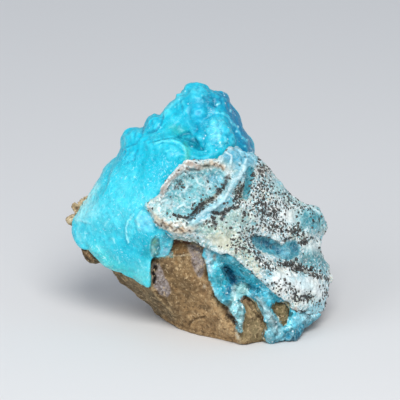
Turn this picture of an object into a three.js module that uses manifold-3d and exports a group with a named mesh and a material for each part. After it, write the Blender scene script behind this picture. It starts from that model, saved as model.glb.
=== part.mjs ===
// A cabinet specimen of hemimorphite: a block of brown limonite matrix, carrying a thick blue botryoidal crust over
// its top and left side, a pale speckled druse with a raised rosette over its right side, and a blue-lined vug between
// them.
// Millimetres, +Z up. The display face looks along -Y, and the block rests on a flat fracture at Z = 0.
import * as THREE from "three";
import { ConvexHull } from "three/addons/math/ConvexHull.js";
import { ImprovedNoise } from "three/addons/math/ImprovedNoise.js";
import { mergeVertices } from "three/addons/utils/BufferGeometryUtils.js";
import Module from "manifold-3d";

const wasm = await Module();
wasm.setup();

// ---- Driving dimensions ----
const LEAN = THREE.MathUtils.degToRad(20); // the measuring plane leans back this far, to face the display side
const FOOT_BACK = -23.5; // the front foot, where the measuring plane's "up" starts, stands this far forward of Y = 0
const CLEARANCE = 0.4; // air between a crust and what it grew on
const FRACTURE_DEPTH = 0.65; // how far the broken surface rolls in and out
const STEP_SIZE = 15; // breadth and height of the steps that the rock broke along behind
const STEP_DEPTH = 2.4;
const RIM_STEP = 5; // longest stretch of an outline between two cage points
const MATRIX_EDGE = 5.2; // longest triangle edges on the display side, piece by piece
const BLUE_EDGE = 4.2;
const PALE_EDGE = 3.9;
const VUG_EDGE = 3.2;
const BACK_FROM = 8; // behind this Y the edges may be longer, by the next factor
const BACK_COARSER = 1.6;
const SHORTEST = 0.45; // edges shorter than this are welded shut after the cuts
const FLATTEST = 0.05; // faces lower than this are parted from their neighbour the other way
const SLIMMEST = 0.25; // so are faces whose height is less than this share of their long side, before the relief
const TURNING_ROUNDS = 6;
const PARTING = 0.15; // how far two sheets that touch at a point are drawn apart
const BLOCK = 400; // side of the cutting block under the resting face

const noise = new ImprovedNoise();

// ---- Places ----

// A point of the display side from [across, up, back]: across and up are read on the leaning plane, back is along +Y.
function seen([across, up, back]) {
  const drop = (up - (back - FOOT_BACK) * Math.sin(LEAN)) / Math.cos(LEAN);
  return new THREE.Vector3(across, back, drop);
}

// A point of the hidden side, straight from [x, y, z].
function hidden([x, y, z]) {
  return new THREE.Vector3(x, y, z);
}

// Across and up on the leaning plane, for any point.
function onPlane(p) {
  const up = p.z * Math.cos(LEAN) + (p.y - FOOT_BACK) * Math.sin(LEAN);
  return new THREE.Vector2(p.x, up);
}

// ---- Surfaces: { points: [Vector3], faces: [[i, j, k]] } ----

// The outline with points added so that no stretch is longer than RIM_STEP.
function filledRim(rim) {
  return rim.flatMap((p, i) => {
    const next = rim[(i + 1) % rim.length];
    const count = Math.ceil(p.distanceTo(next) / RIM_STEP);
    return Array.from({ length: count }, (_, k) => p.clone().lerp(next, k / count));
  });
}

// How far an outline, as [Vector2], lies from its middle in the direction of `angle`.
function reach(outline, middle, angle) {
  const ray = new THREE.Vector2(Math.cos(angle), Math.sin(angle));
  let far = 0;
  outline.forEach((a, i) => {
    const b = outline[(i + 1) % outline.length];
    const side = b.clone().sub(a);
    const from = a.clone().sub(middle);
    const turn = ray.cross(side);
    const along = from.cross(side) / turn;
    const share = from.cross(ray) / turn;
    if (share >= 0 && share <= 1 && along > far) far = along;
  });
  return far;
}

const slim = (length) => SLIMMEST * length;

// A closed cage over set points: the rim is its outline, seen from the front, and the rest lie before or behind it.
// The points are laid out on a sphere with the rim as its equator, and the sphere's hull says which are neighbours.
// From `middle`, across and up, the whole rim can be seen.
function cage({ rim, middle: [across, up], front, back }) {
  const outline = filledRim(rim.map(seen));
  const flat = outline.map(onPlane);
  const middle = new THREE.Vector2(across, up);
  const points = [...outline, ...front.map(seen), ...back.map(hidden)];
  const globe = points.map((p, i) => {
    const spoke = onPlane(p).sub(middle);
    const angle = spoke.angle();
    const onRim = i < outline.length;
    const share = onRim ? 1 : Math.min(spoke.length() / reach(flat, middle, angle), 0.985);
    const pole = i < outline.length + front.length ? 1 : -1;
    const tilt = (share * Math.PI) / 2;
    const round = Math.sin(tilt);
    const at = new THREE.Vector3(round * Math.cos(angle), round * Math.sin(angle), pole * Math.cos(tilt));
    at.index = i;
    return at;
  });
  const faces = new ConvexHull().setFromPoints(globe).faces.map((face) => {
    const edge = face.edge;
    return [edge.head(), edge.next.head(), edge.next.next.head()].map((v) => v.point.index);
  });
  return turned({ points, faces }, slim);
}

// Halves every edge longer than `longest`, on both of its faces alike, until none is left.
function refine(surface, longest) {
  const points = surface.points.map((p) => p.clone());
  let faces = surface.faces;
  for (;;) {
    const halves = new Map();
    const half = (i, j) => {
      const behind = (points[i].y + points[j].y) / 2 > BACK_FROM;
      if (points[i].distanceTo(points[j]) <= longest * (behind ? BACK_COARSER : 1)) return [];
      const key = i < j ? `${i}_${j}` : `${j}_${i}`;
      if (!halves.has(key)) halves.set(key, points.push(points[i].clone().lerp(points[j], 0.5)) - 1);
      return [halves.get(key)];
    };
    faces = faces.flatMap(([a, b, c]) => {
      const [ab, bc, ca] = [half(a, b), half(b, c), half(c, a)];
      if (ab.length && bc.length && ca.length) {
        return [[a, ab[0], ca[0]], [ab[0], b, bc[0]], [ca[0], bc[0], c], [ab[0], bc[0], ca[0]]];
      }
      const ring = [a, ...ab, b, ...bc, c, ...ca];
      const start = ring.findIndex((v) => v !== a && v !== b && v !== c);
      if (start < 0) return [[a, b, c]];
      const fan = ring.map((_, k) => ring[(start + k) % ring.length]);
      return fan.slice(2).map((v, k) => [fan[0], fan[k + 1], v]);
    });
    if (!halves.size) return turned({ points, faces }, slim);
  }
}

// Parts a pair of faces the other way where one is lower, over its long side, than `least` of that side's length,
// if that leaves both higher than it was and folds nothing.
function turned({ points, faces: given }, least) {
  const faces = given.map((face) => [...face]);
  const edge = (a, b) => `${a}_${b}`;
  const owner = new Map();
  const own = (f) => faces[f].forEach((v, k) => owner.set(edge(v, faces[f][(k + 1) % 3]), f));
  const area = ([a, b, c]) => points[b].clone().sub(points[a]).cross(points[c].clone().sub(points[a]));
  const sides = (face) => face.map((v, k) => points[v].distanceTo(points[face[(k + 1) % 3]]));
  const height = (face) => area(face).length() / Math.max(...sides(face));
  const turn = (face, f) => {
    const lengths = sides(face);
    const k = lengths.indexOf(Math.max(...lengths));
    if (height(face) >= least(lengths[k])) return false;
    const [a, b, c] = [face[k], face[(k + 1) % 3], face[(k + 2) % 3]];
    const other = owner.get(edge(b, a));
    const d = faces[other].find((v) => v !== a && v !== b);
    if (owner.has(edge(c, d)) || owner.has(edge(d, c))) return false;
    const out = area(face).add(area(faces[other]));
    const pair = [[a, d, c], [d, b, c]];
    if (pair.some((one) => height(one) <= height(face) || area(one).dot(out) <= 0)) return false;
    owner.delete(edge(a, b));
    owner.delete(edge(b, a));
    [faces[f], faces[other]] = pair;
    own(f);
    own(other);
    return true;
  };
  faces.forEach((_, f) => own(f));
  for (let round = 0; round < TURNING_ROUNDS && faces.filter((_, f) => turn(faces[f], f)).length > 0; round++);
  return { points, faces };
}

// The mean of the normals of the faces round each point: of length 1 where they agree, and shorter on an edge.
function normals({ points, faces }) {
  const sums = points.map(() => ({ normal: new THREE.Vector3(), area: 0 }));
  for (const [a, b, c] of faces) {
    const n = points[b].clone().sub(points[a]).cross(points[c].clone().sub(points[a]));
    for (const i of [a, b, c]) {
      sums[i].normal.add(n);
      sums[i].area += n.length();
    }
  }
  return sums.map(({ normal, area }) => normal.divideScalar(area));
}

// Moves each point along its normal by rise(point), and by less of it the sharper the surface bends there.
function sculpt(surface, rise) {
  const out = normals(surface);
  const points = surface.points.map((p, i) => p.clone().addScaledVector(out[i], rise(p) * out[i].length()));
  return { points, faces: surface.faces };
}

// The surface moved outwards by `air`.
function grown(surface, air) {
  const out = normals(surface);
  const points = surface.points.map((p, i) => p.clone().addScaledVector(out[i].normalize(), air));
  return { points, faces: surface.faces };
}

// Moves each point a share of the way to the mean of its neighbours.
function relaxed({ points, faces }, share) {
  const sums = points.map(() => ({ at: new THREE.Vector3(), count: 0 }));
  for (const [a, b, c] of faces) {
    for (const [i, j] of [[a, b], [b, c], [c, a]]) {
      sums[i].at.add(points[j]);
      sums[i].count += 1;
    }
  }
  return { points: points.map((p, i) => p.clone().lerp(sums[i].at.divideScalar(sums[i].count), share)), faces };
}

// Rounds a surface and keeps its size: each round moves the points in, then a little further out.
function rounded(surface, rounds) {
  let smooth = surface;
  for (let round = 0; round < rounds; round++) smooth = relaxed(relaxed(smooth, 0.5), -0.53);
  return smooth;
}

// ---- Relief ----

// Rolling noise of about -1 to 1, with a finer octave on it.
function rough(p, size) {
  const coarse = noise.noise(p.x / size, p.y / size, p.z / size);
  const fine = noise.noise((2.3 * p.x) / size + 9, (2.3 * p.y) / size + 4, (2.3 * p.z) / size + 7);
  return coarse + 0.5 * fine;
}

// A repeatable number from 0 to 1 for a cell of the lattice.
function chance(i, j, k, salt) {
  const wave = Math.sin(i * 127.1 + j * 311.7 + k * 74.7 + salt * 53.3) * 43758.5453;
  return wave - Math.floor(wave);
}

// Of lumps packed at about `size` apart, the one nearest to p: how far off it is, and its own number from 0 to 1.
function nearestLump(p, size) {
  const cell = [p.x, p.y, p.z].map((v) => Math.floor(v / size));
  let found = { distance: Infinity, share: 0 };
  for (let i = -1; i <= 1; i++) {
    for (let j = -1; j <= 1; j++) {
      for (let k = -1; k <= 1; k++) {
        const [a, b, c] = [cell[0] + i, cell[1] + j, cell[2] + k];
        const seed = new THREE.Vector3(a + chance(a, b, c, 1), b + chance(a, b, c, 2), c + chance(a, b, c, 3));
        const distance = seed.multiplyScalar(size).distanceTo(p);
        if (distance < found.distance) found = { distance, share: chance(a, b, c, 4) };
      }
    }
  }
  return found;
}

// Packed round grape-like lumps, 0 in the creases and 1 on the crowns.
function grapes(p, size) {
  return Math.sqrt(Math.max(0, 1 - (nearestLump(p, size).distance / size) ** 2));
}

// ---- Solids ----

function solidOf({ points, faces }) {
  const vertProperties = new Float32Array(points.flatMap((p) => [p.x, p.y, p.z]));
  return new wasm.Manifold(new wasm.Mesh({ numProp: 3, vertProperties, triVerts: new Uint32Array(faces.flat()) }));
}

// The half space above the level `z`.
function above(z) {
  const block = new THREE.BoxGeometry(BLOCK, BLOCK, BLOCK).translate(0, 0, z + BLOCK / 2);
  block.deleteAttribute("normal");
  block.deleteAttribute("uv");
  const joined = mergeVertices(block);
  return new wasm.Manifold(
    new wasm.Mesh({
      numProp: 3,
      vertProperties: joined.attributes.position.array,
      triVerts: new Uint32Array(joined.index.array),
    }),
  );
}

// The largest body of a solid: a cut can leave loose crumbs at a thin edge.
function main(solid) {
  const bodies = solid.decompose();
  return bodies.reduce((best, body) => (body.volume() > best.volume() ? body : best));
}

function surfaceOf(solid) {
  const { numVert, numTri, numProp, vertProperties, triVerts } = solid.getMesh();
  const points = Array.from({ length: numVert }, (_, i) => new THREE.Vector3().fromArray(vertProperties, i * numProp));
  const faces = Array.from({ length: numTri }, (_, i) => [...triVerts.subarray(3 * i, 3 * i + 3)]);
  return { points, faces };
}

// Draws points that only happen to share a place a little way back into their own sheets, so that the sheets part.
function parted({ points, faces }) {
  const spot = (p) => p.toArray().map((v) => v.toFixed(2)).join();
  const spots = new Map();
  points.forEach((p, i) => spots.set(spot(p), [...(spots.get(spot(p)) ?? []), i]));
  const moved = points.map((p) => p.clone());
  for (const shared of spots.values()) {
    if (shared.length < 2) continue;
    for (const i of shared) {
      const ring = faces.filter((face) => face.includes(i)).flat();
      const mean = ring.reduce((sum, v) => sum.add(points[v]), new THREE.Vector3()).divideScalar(ring.length);
      moved[i].add(mean.sub(points[i]).clampLength(0, PARTING));
    }
  }
  return { points: moved, faces };
}

// Draws the ends of each edge shorter than `shortest` together, where the surface stays closed and no face turns over.
function welded(surface, shortest) {
  const points = surface.points.map((p) => p.clone());
  let faces = surface.faces;
  for (;;) {
    const around = points.map(() => []);
    faces.forEach((face) => face.forEach((v) => around[v].push(face)));
    const ring = (v) => new Set(around[v].flat().filter((w) => w !== v));
    const edges = faces.flatMap(([a, b, c]) => [[a, b], [b, c], [c, a]]).filter(([a, b]) => a < b);
    const short = edges
      .map(([a, b]) => ({ a, b, length: points[a].distanceTo(points[b]) }))
      .filter((edge) => edge.length < shortest)
      .sort((one, other) => one.length - other.length);
    const gone = new Map();
    const touched = new Set();
    for (const { a, b } of short) {
      const [ringA, ringB] = [ring(a), ring(b)];
      if ([a, b, ...ringA, ...ringB].some((v) => touched.has(v))) continue;
      if ([...ringA].filter((v) => ringB.has(v)).length !== 2) continue;
      const middle = points[a].clone().lerp(points[b], 0.5);
      const left = [...around[a], ...around[b]].filter((face) => !(face.includes(a) && face.includes(b)));
      const flipped = left.some((face) => {
        const before = face.map((v) => points[v]);
        const after = face.map((v) => (v === a || v === b ? middle : points[v]));
        const [n, m] = [before, after].map(([p, q, r]) => q.clone().sub(p).cross(r.clone().sub(p)));
        return n.length() > 1e-3 && n.dot(m) <= 0.1 * n.length() * m.length();
      });
      if (flipped) continue;
      points[a] = middle;
      gone.set(b, a);
      for (const v of [a, b, ...ringA, ...ringB]) touched.add(v);
    }
    if (!gone.size) break;
    faces = faces
      .map((face) => face.map((v) => gone.get(v) ?? v))
      .filter(([a, b, c]) => a !== b && b !== c && c !== a);
  }
  const used = [...new Set(faces.flat())];
  const place = new Map(used.map((v, i) => [v, i]));
  return { points: used.map((v) => points[v]), faces: faces.map((face) => face.map((v) => place.get(v))) };
}

function pieceOf(name, solid, look) {
  const { points, faces } = parted(turned(welded(surfaceOf(solid), SHORTEST), () => FLATTEST));
  const geometry = new THREE.BufferGeometry().setFromPoints(points).setIndex(faces.flat());
  geometry.computeVertexNormals();
  const piece = new THREE.Mesh(geometry, new THREE.MeshStandardMaterial({ metalness: 0, flatShading: true, ...look }));
  piece.name = name;
  return piece;
}

// ---- Brown limonite matrix ----

const MATRIX = {
  middle: [-2, 38],
  rim: [
    // foot, from the front foot to the left
    [15, -0.1, -23.5], [13.3, 0.4, -22], [10, 1.2, -19.5], [6.7, 2, -17], [3.3, 2.7, -15], [0, 3.2, -13.5],
    [-3.3, 4, -11], [-6.7, 5, -8], [-10, 6.7, -3], [-12.7, 8.7, 2],
    // underside of the left overhang
    [-14.3, 10.3, 3], [-16.7, 13, 3], [-20, 15.7, 2.5], [-23.3, 18.5, 2], [-26.7, 21.3, 2], [-29.3, 23.7, 2],
    [-30.7, 26, 2],
    // lower left knob
    [-33, 27.6, 2], [-34.7, 27.3, 2], [-37.3, 27.5, 1.5], [-38.5, 28.7, 1.5], [-39.5, 30.7, 2], [-40, 32.5, 3],
    [-39.7, 36, 7],
    // left blade, then the upper left knob
    [-42, 39.2, 9], [-43.4, 40.5, 9.5], [-45, 41.4, 9.5], [-45.8, 42.7, 9.5], [-43.6, 44, 9.5], [-41.8, 44.6, 9.5],
    [-42.8, 45.2, 10.5], [-43.7, 46.5, 11], [-43.2, 48.2, 11], [-41, 49.6, 12], [-38.3, 51.4, 12], [-35.5, 53, 12],
    // left and top, under the blue crust
    [-32, 55, 12], [-29, 59.5, 12], [-24, 65.5, 12], [-18, 70, 12], [-10.5, 73.5, 13], [-2, 77.5, 14],
    [6, 77, 15], [10.5, 72, 16], [15.3, 64.5, 15],
    // right, under the pale druse
    [19.5, 56.5, 11], [27.5, 49.3, 8], [34.5, 44, 8], [37.8, 42.7, 8], [39.3, 39, 8], [38.7, 34.7, 7],
    [40, 27.3, 6], [41.3, 22.3, 5], [39.7, 16.3, 2], [37.5, 12, -1],
    // right foot
    [33.6, 8, -6], [31, 3.5, -11.5], [26, 1.4, -17], [22, 1.4, -19], [18.5, 0.8, -21],
  ],
  front: [
    // fracture face below the blue crust, from its upper edge down
    [-14.7, 30, -11.5], [-8, 30.7, -14.5], [-1.7, 31.7, -17.5], [-11.7, 28, -13.7], [-6.7, 28, -15.5],
    [-6.7, 22.3, -15.2], [-1.7, 24, -18], [-1.7, 17.3, -17], [-5, 14, -14.5], [3.3, 15.7, -19.8], [1.7, 9.7, -17.2],
    [7.3, 9, -20.5], [10.7, 4, -21.7], [-2.7, 8.3, -13.5], [2.7, 28, -19.3], [4, 20.7, -20],
    // soft lobe at its left end
    [-15.7, 25, -11.7], [-13.3, 20.7, -12], [-11.3, 16.7, -11.7], [-9.3, 12.7, -11],
    // shaded strip below
    [-16.7, 19, -10.5], [-21.7, 21, -7], [-18.3, 16.3, -4.5], [-14, 12.3, -3.5], [-10, 9, -6], [-26.7, 23.5, -3],
    [-30, 26.3, -1], [-37.3, 30.3, -1], [-35, 28.5, -0.5],
    // above it, then under the edge of both crusts
    [-8.3, 33.5, -12.5], [-4.7, 34, -13.5], [1, 32.5, -16],
    // floor and walls of the vug
    [5, 29, -15.5], [9.3, 27, -11.5], [10.7, 23, -9], [13, 20.7, -9.5], [6.7, 24, -14], [7, 19, -16], [10, 17, -16.5],
    [17.3, 20.3, -11.5], [22.7, 17.3, -13.5], [27.7, 15.3, -14],
    // bare windows between the ribs, with the rock under the ribs
    [10.3, 11, -20.3], [13, 14.5, -19.3], [13.3, 7.5, -21.7], [15.3, 15, -20.5], [16.7, 11.7, -21], [18.3, 7.3, -21.3],
    [16.7, 3, -22.3], [20.7, 5.7, -20.3], [22.3, 11, -18.7], [24.3, 5.5, -19], [25.7, 13.3, -18.3], [28, 13.3, -17.3],
    [28.3, 9, -18], [28.3, 5.5, -17.7], [31.5, 9.5, -13.5], [31, 5.5, -14.5],
    // under the pale druse
    [5, 34, -17], [15.5, 28.5, -14.5], [22.7, 22, -14.5], [29.3, 17.5, -13.5], [8.3, 38, -15.5], [16.7, 44, -10.5],
    [13.3, 52.3, -6.5], [23.3, 44, -5], [33.3, 40.7, 4], [33.3, 32.3, -1.5], [26.7, 34, -5.5], [20, 34, -9.5],
    [36.7, 20.7, -3], [34.5, 13, -7.5], [-3.3, 47.3, -12], [-10.5, 47.3, -9.5], [1.7, 55.7, -8], [-3.3, 40.7, -14.5],
    // under the blue crust
    [-16.7, 41, -9], [-23.3, 45.7, -4], [-31.7, 41, 0.5], [-38, 41, 5], [-26.7, 32.3, -3.5], [-20, 55.7, -1],
    [-11.7, 60.7, -3], [-19, 30.5, -7], [-5, 64.5, 1], [1.7, 64.7, 4], [8.3, 64.7, 4], [13.3, 60.7, 3], [0, 70, 9],
  ],
  back: [
    // resting face, cut flat later
    [-12, 9, -1], [-9, 21, -1], [8, 27, -1], [24, 25, -1], [32, 6, -1], [12, 2, -1],
    // underside of the left overhang
    [-18, 14, 6], [-28, 12, 16], [-36, 14, 25],
    // back wall, from low to high
    [-14, 26, 12], [10, 34, 14], [27, 28, 12], [35, 14, 12], [-30, 20, 30], [-14, 32, 32], [8, 38, 36], [26, 28, 32],
    [34, 16, 28], [-39, 15, 27], [-38, 15, 38], [-26, 22, 46], [-10, 30, 50], [8, 33, 52], [17, 24, 41], [28, 17, 34],
    [-12, 22, 55], [2, 24, 60], [9, 22, 55],
  ],
};

// Rolls on the display side, and breaks back in flat steps behind, where nothing grew.
function fractured(p) {
  const roll = FRACTURE_DEPTH * (Math.max(-1, Math.min(1, 1.3 * rough(p, 11))) - 0.4);
  const behind = THREE.MathUtils.smoothstep(p.y, BACK_FROM, BACK_FROM + 6);
  return roll - behind * STEP_DEPTH * nearestLump(p, STEP_SIZE).share;
}

// ---- Blue botryoidal crust ----

const BLUE = {
  middle: [-14, 62],
  rim: [
    // lower edge, to the left
    [-17, 19.3, -12], [-20, 21, -10], [-22.7, 22.7, -8.5], [-25.3, 23.7, -7], [-26.7, 24.7, -6.5], [-29.3, 25, -5],
    [-31, 26.3, -4], [-33.3, 27.7, -3], [-35, 29.7, -2.5], [-36, 31.3, -2], [-37.3, 32.7, -1.5], [-40, 32.8, 0],
    // left side, going up
    [-41.7, 33.7, 2], [-42.7, 36.3, 4], [-42.8, 39.7, 6], [-42, 42.7, 7], [-41, 44.7, 7.5], [-38.7, 47.3, 8],
    [-37.3, 49.3, 9], [-36, 52.3, 9.5], [-34.3, 55, 10], [-31.7, 59, 11], [-29.3, 62.3, 11.5], [-27, 65, 12],
    [-26.3, 67, 12], [-26, 70, 12], [-24.7, 72, 12], [-23.3, 72.7, 12], [-20, 73.3, 12], [-18.3, 75, 12.5],
    [-17, 76.7, 13], [-15, 77.3, 13], [-13, 76.5, 13], [-11.7, 79, 13], [-9.7, 80, 13], [-8.3, 82.7, 13],
    // peak and right shoulder
    [-6.7, 84.3, 13], [-5.5, 85.4, 13], [-4.7, 87, 13], [-3.3, 88, 13], [-1.3, 88.3, 13], [1, 87.7, 13.5],
    [2.7, 87, 14], [3.7, 85.7, 14], [6.7, 85.5, 15], [8.7, 84.5, 16], [9.7, 82.7, 16.5], [11, 79.7, 17],
    [12.3, 76.3, 17], [13.3, 73, 17], [15, 71, 17], [17, 69.3, 17], [18, 67.7, 16.5], [18.8, 65, 16],
    [19, 62.8, 14],
    // edge under the pale druse, then the broken edge over the brown face
    [15, 61.8, 2], [10, 61.5, -3], [3, 60, -8], [-3, 59, -10], [-8, 55, -12], [-7, 49, -12.5], [-7, 44, -13.5],
    [-6.5, 38.5, -15.5], [-9.3, 35.7, -16], [-9.7, 32.3, -15], [-10, 30.3, -14.7], [-14, 29.7, -13.5],
    [-16, 29.3, -13.5], [-16.2, 27.3, -13.3], [-16.5, 24, -13],
  ],
  front: [
    // broad left face, from low to high
    [-21.7, 25.7, -11], [-28.3, 28.3, -7.5], [-33.3, 31.7, -4.5], [-38.3, 35.7, -1], [-18.3, 30.7, -13],
    [-25, 32.3, -9.5], [-31.7, 37.3, -5], [-38.7, 41.7, 0.5], [-13.3, 34, -15], [-11.7, 38.3, -16.5],
    [-18.3, 37.3, -15], [-25, 39.7, -10.5], [-19.3, 44, -14.5], [-33.3, 44, -4.5], [-26.7, 47.3, -8.5],
    [-20, 50.7, -11.5], [-15, 52.3, -14], [-31.7, 51.7, -3], [-25, 55.7, -5], [-18.3, 58.3, -8.5], [-11.7, 59, -11.5],
    [-28.3, 59.7, 1.5], [-22.7, 63, 0], [-16.7, 65.7, -4], [-10, 64, -9], [-5, 64, -9.5], [-24, 68.3, 6],
    [-19.3, 69.7, 1.5], [-15, 71.3, 1],
    // ledge that closes the left face, and the fold above it
    [-13.3, 68.7, -4], [-9.3, 68.3, -6], [-6, 67.3, -7], [-3.3, 65, -8.5], [-12.7, 70.5, 1], [-8.3, 70.5, 0.5],
    [-4, 69.7, 1], [-1, 67.5, 0], [1, 65.7, -3],
    // hollow, upper mass and right shoulder
    [-1.7, 70.7, 2.5], [0, 74, 3.5], [-16.7, 75, 9], [-11.7, 75.7, 6], [-9.3, 73, 3], [-6.7, 77.3, 4.5],
    [-3.3, 80.7, 5.5], [-1.7, 85, 9], [1.7, 84, 8], [5, 82.3, 8], [3.3, 78.3, 5], [7.3, 79, 7], [9.3, 75.7, 6],
    [5, 74, 0.5], [6, 69.7, -3], [3.3, 67.3, -4], [9.3, 71.7, 0], [12, 68.3, 0], [14.7, 67, 3], [13.3, 71.7, 9],
    [16.7, 66.3, 8], [8.3, 66.3, -5], [0, 63, -9], [4, 64, -8],
  ],
  back: [
    // outside of the cap behind the peak
    [-3, 23, 71], [8, 27, 64], [-14, 25, 57], [16, 26, 51], [-23, 21, 50], [-32, 18, 42], [-38, 14, 33],
    // inside, within the matrix
    [-10, 12, 44], [8, 14, 54], [-22, 10, 36], [-30, 8, 30], [-19, 4, 29],
  ],
};

function botryoidal(p) {
  return 1.7 * grapes(p, 9.5) + 0.5 * rough(p, 7) - 0.9;
}

// ---- Pale speckled druse with its rosette ----

const PALE = {
  middle: [13.5, 39],
  rim: [
    // left edge of the rosette, going up and over
    [-18.3, 47, -15.5], [-16.7, 49, -16], [-14, 50, -16.5], [-13, 51.3, -16.5], [-12.3, 53, -16.5], [-10.7, 55.7, -16],
    [-8.3, 58.3, -15.5], [-6.3, 60.7, -14.5], [-4.7, 62, -13.5], [-1.7, 62, -13], [1, 61.7, -12.5], [3.3, 62.3, -12.5],
    [5.7, 62.8, -12], [8.3, 64.7, -10.5], [10, 66.5, -8.5], [12.3, 66.8, -5], [13.3, 66, -3.5], [15.3, 64.3, -2],
    [17, 64.7, 1], [18.8, 63.5, 5],
    // right side, going down
    [20, 62.3, 7], [21.7, 61, 7], [23.3, 59.3, 7], [25, 57, 6.5], [26.7, 55, 6], [28.3, 53.2, 5.5], [30, 51.5, 5],
    [31.7, 49.8, 5], [33.3, 48, 5], [35, 47.3, 5.5], [36.7, 46.8, 6], [38.7, 46.7, 7], [40, 45.7, 7.5],
    [40.7, 44.7, 8], [41.3, 43, 8], [42.3, 41, 8], [42.7, 39.3, 8], [42, 37.7, 7], [40.7, 35.7, 6], [40.3, 33.7, 6],
    [40.7, 31.3, 5.5], [41.7, 29, 5], [43.3, 26.5, 4], [43.5, 24.7, 3.5], [44.7, 22.3, 3], [43.5, 19.8, 2],
    [42.7, 17.3, 0], [42.3, 14.7, -2], [41.8, 11.8, -4],
    // lower edge over the toe and the vug
    [39.3, 10.5, -8], [36.7, 10, -12], [33.3, 11, -15.5], [31.6, 12.2, -17], [29.6, 15, -18.5], [27.7, 16, -20],
    [26, 17.3, -21], [24, 19.3, -21.7], [22, 21.7, -22.3], [20, 22.7, -22.7], [17.3, 25.3, -23], [14.3, 28, -23.3],
    [12, 29.7, -23.5], [9.3, 31.7, -23.5], [6.7, 31.7, -23], [4, 32.3, -22], [1.3, 34, -20.5], [-1.7, 35.3, -19.5],
    [-5, 35.7, -18.5], [-9, 36, -17.5], [-10.7, 37.7, -17.5], [-13.3, 39.3, -17], [-15.7, 41.7, -16.5],
    [-16.7, 44.7, -16],
  ],
  front: [
    // crest of the rosette, clockwise from its left tip
    [-16.3, 47, -17.5], [-13.3, 49.7, -18], [-11.3, 53.3, -18], [-8.3, 57.3, -17.5], [-5, 60.3, -16], [-2, 60.3, -16],
    [1.7, 60.3, -14], [5.3, 60.3, -14.7], [8, 58.3, -15], [9.7, 55.3, -16.5], [9.3, 51.7, -18], [7, 48.7, -20],
    [3, 46, -21.5], [-0.7, 42.3, -22.5], [-4.7, 40, -22], [-9.3, 41.3, -21], [-13.3, 43.7, -19.5], [-15.3, 45.3, -18],
    // dish inside it
    [-6.7, 55, -15.5], [-1.7, 56.3, -14.5], [4, 56.3, -13.5], [6, 53, -15], [1.7, 51.7, -16], [-3.3, 52.3, -16],
    [-8, 50, -17], [-5, 47, -18], [-1.3, 46.3, -18.2], [2.7, 48.7, -17], [-6, 44, -19],
    // groove, pocket and ridge beside it, then the lobes on top
    [8.7, 45, -18.7], [12, 47, -17.2], [13.7, 50.7, -14], [16, 55, -11.2], [16, 59, -8.7], [12.7, 57, -14.7],
    [15.3, 61.3, -9], [11, 53.3, -17], [10.7, 64, -11], [13.7, 64.7, -7.5], [7.3, 62, -13.3], [17.3, 62.7, -2],
    // speckled face, from its top to the hollow in it
    [18.7, 59, -6.5], [21.7, 58.3, -3], [19.3, 53, -10.5], [23.3, 53, -6.5], [27.3, 51.3, -2.5], [19.3, 48, -13.5],
    [24, 47.3, -9], [28.7, 47.3, -4], [32.7, 45.7, 0], [16.7, 44, -16.5], [13.3, 41.7, -18.7], [9.3, 41.7, -20],
    [20.7, 42.3, -13.5], [26, 41.7, -9], [30.7, 41.7, -4.5], [35, 41.7, -1.5], [38.7, 43, 1.5], [39.3, 39.7, 1],
    [4, 38.3, -22], [8.3, 36.3, -22.3], [12.7, 37.3, -20.3], [12, 33, -22.8], [8.7, 33.7, -23.2], [14, 29.7, -23.2],
    // hollow, and what stands round it
    [18.7, 35.3, -14.7], [22.7, 33.7, -12.7], [26.7, 31.7, -10.7], [30.7, 31.7, -8.7], [20.7, 38.3, -14.5],
    [25.3, 37, -11.3], [30, 36.3, -7.7], [33.3, 35.7, -5], [16, 33.3, -20], [19.3, 30.3, -19.5], [23.3, 29, -17],
    [28, 28.3, -14], [32.7, 29, -9.7], [36.7, 34, -3], [37.3, 29.7, -5],
    // recess, then the clean lobes below it
    [26.7, 26.7, -14.7], [31.7, 26, -11.3], [36, 25.7, -7], [18.7, 26.3, -22], [22.7, 23.3, -21.7], [26.7, 22, -20.3],
    [30.7, 22, -17.3], [34.7, 22, -13], [38.7, 22.7, -8], [42, 23.7, -3], [27.7, 18.7, -20.5], [32.7, 18, -16.7],
    [37.3, 18.3, -11], [41, 19, -5.5], [33.3, 14.7, -16], [37.3, 14.3, -11], [40.3, 15, -7],
  ],
  back: [
    [-9, 0, 38], [0, 4, 46], [10, 6, 44], [20, 10, 40], [28, 10, 32], [32, 8, 22], [30, 0, 14], [14, -8, 26],
    [34, 14, 34], [37, 13, 26],
  ],
};

function druse(p) {
  return 0.9 * grapes(p, 5) + 0.6 * rough(p, 4) - 0.5;
}

// ---- Blue lining of the vug, with the ribs and the toe below it ----

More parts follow.
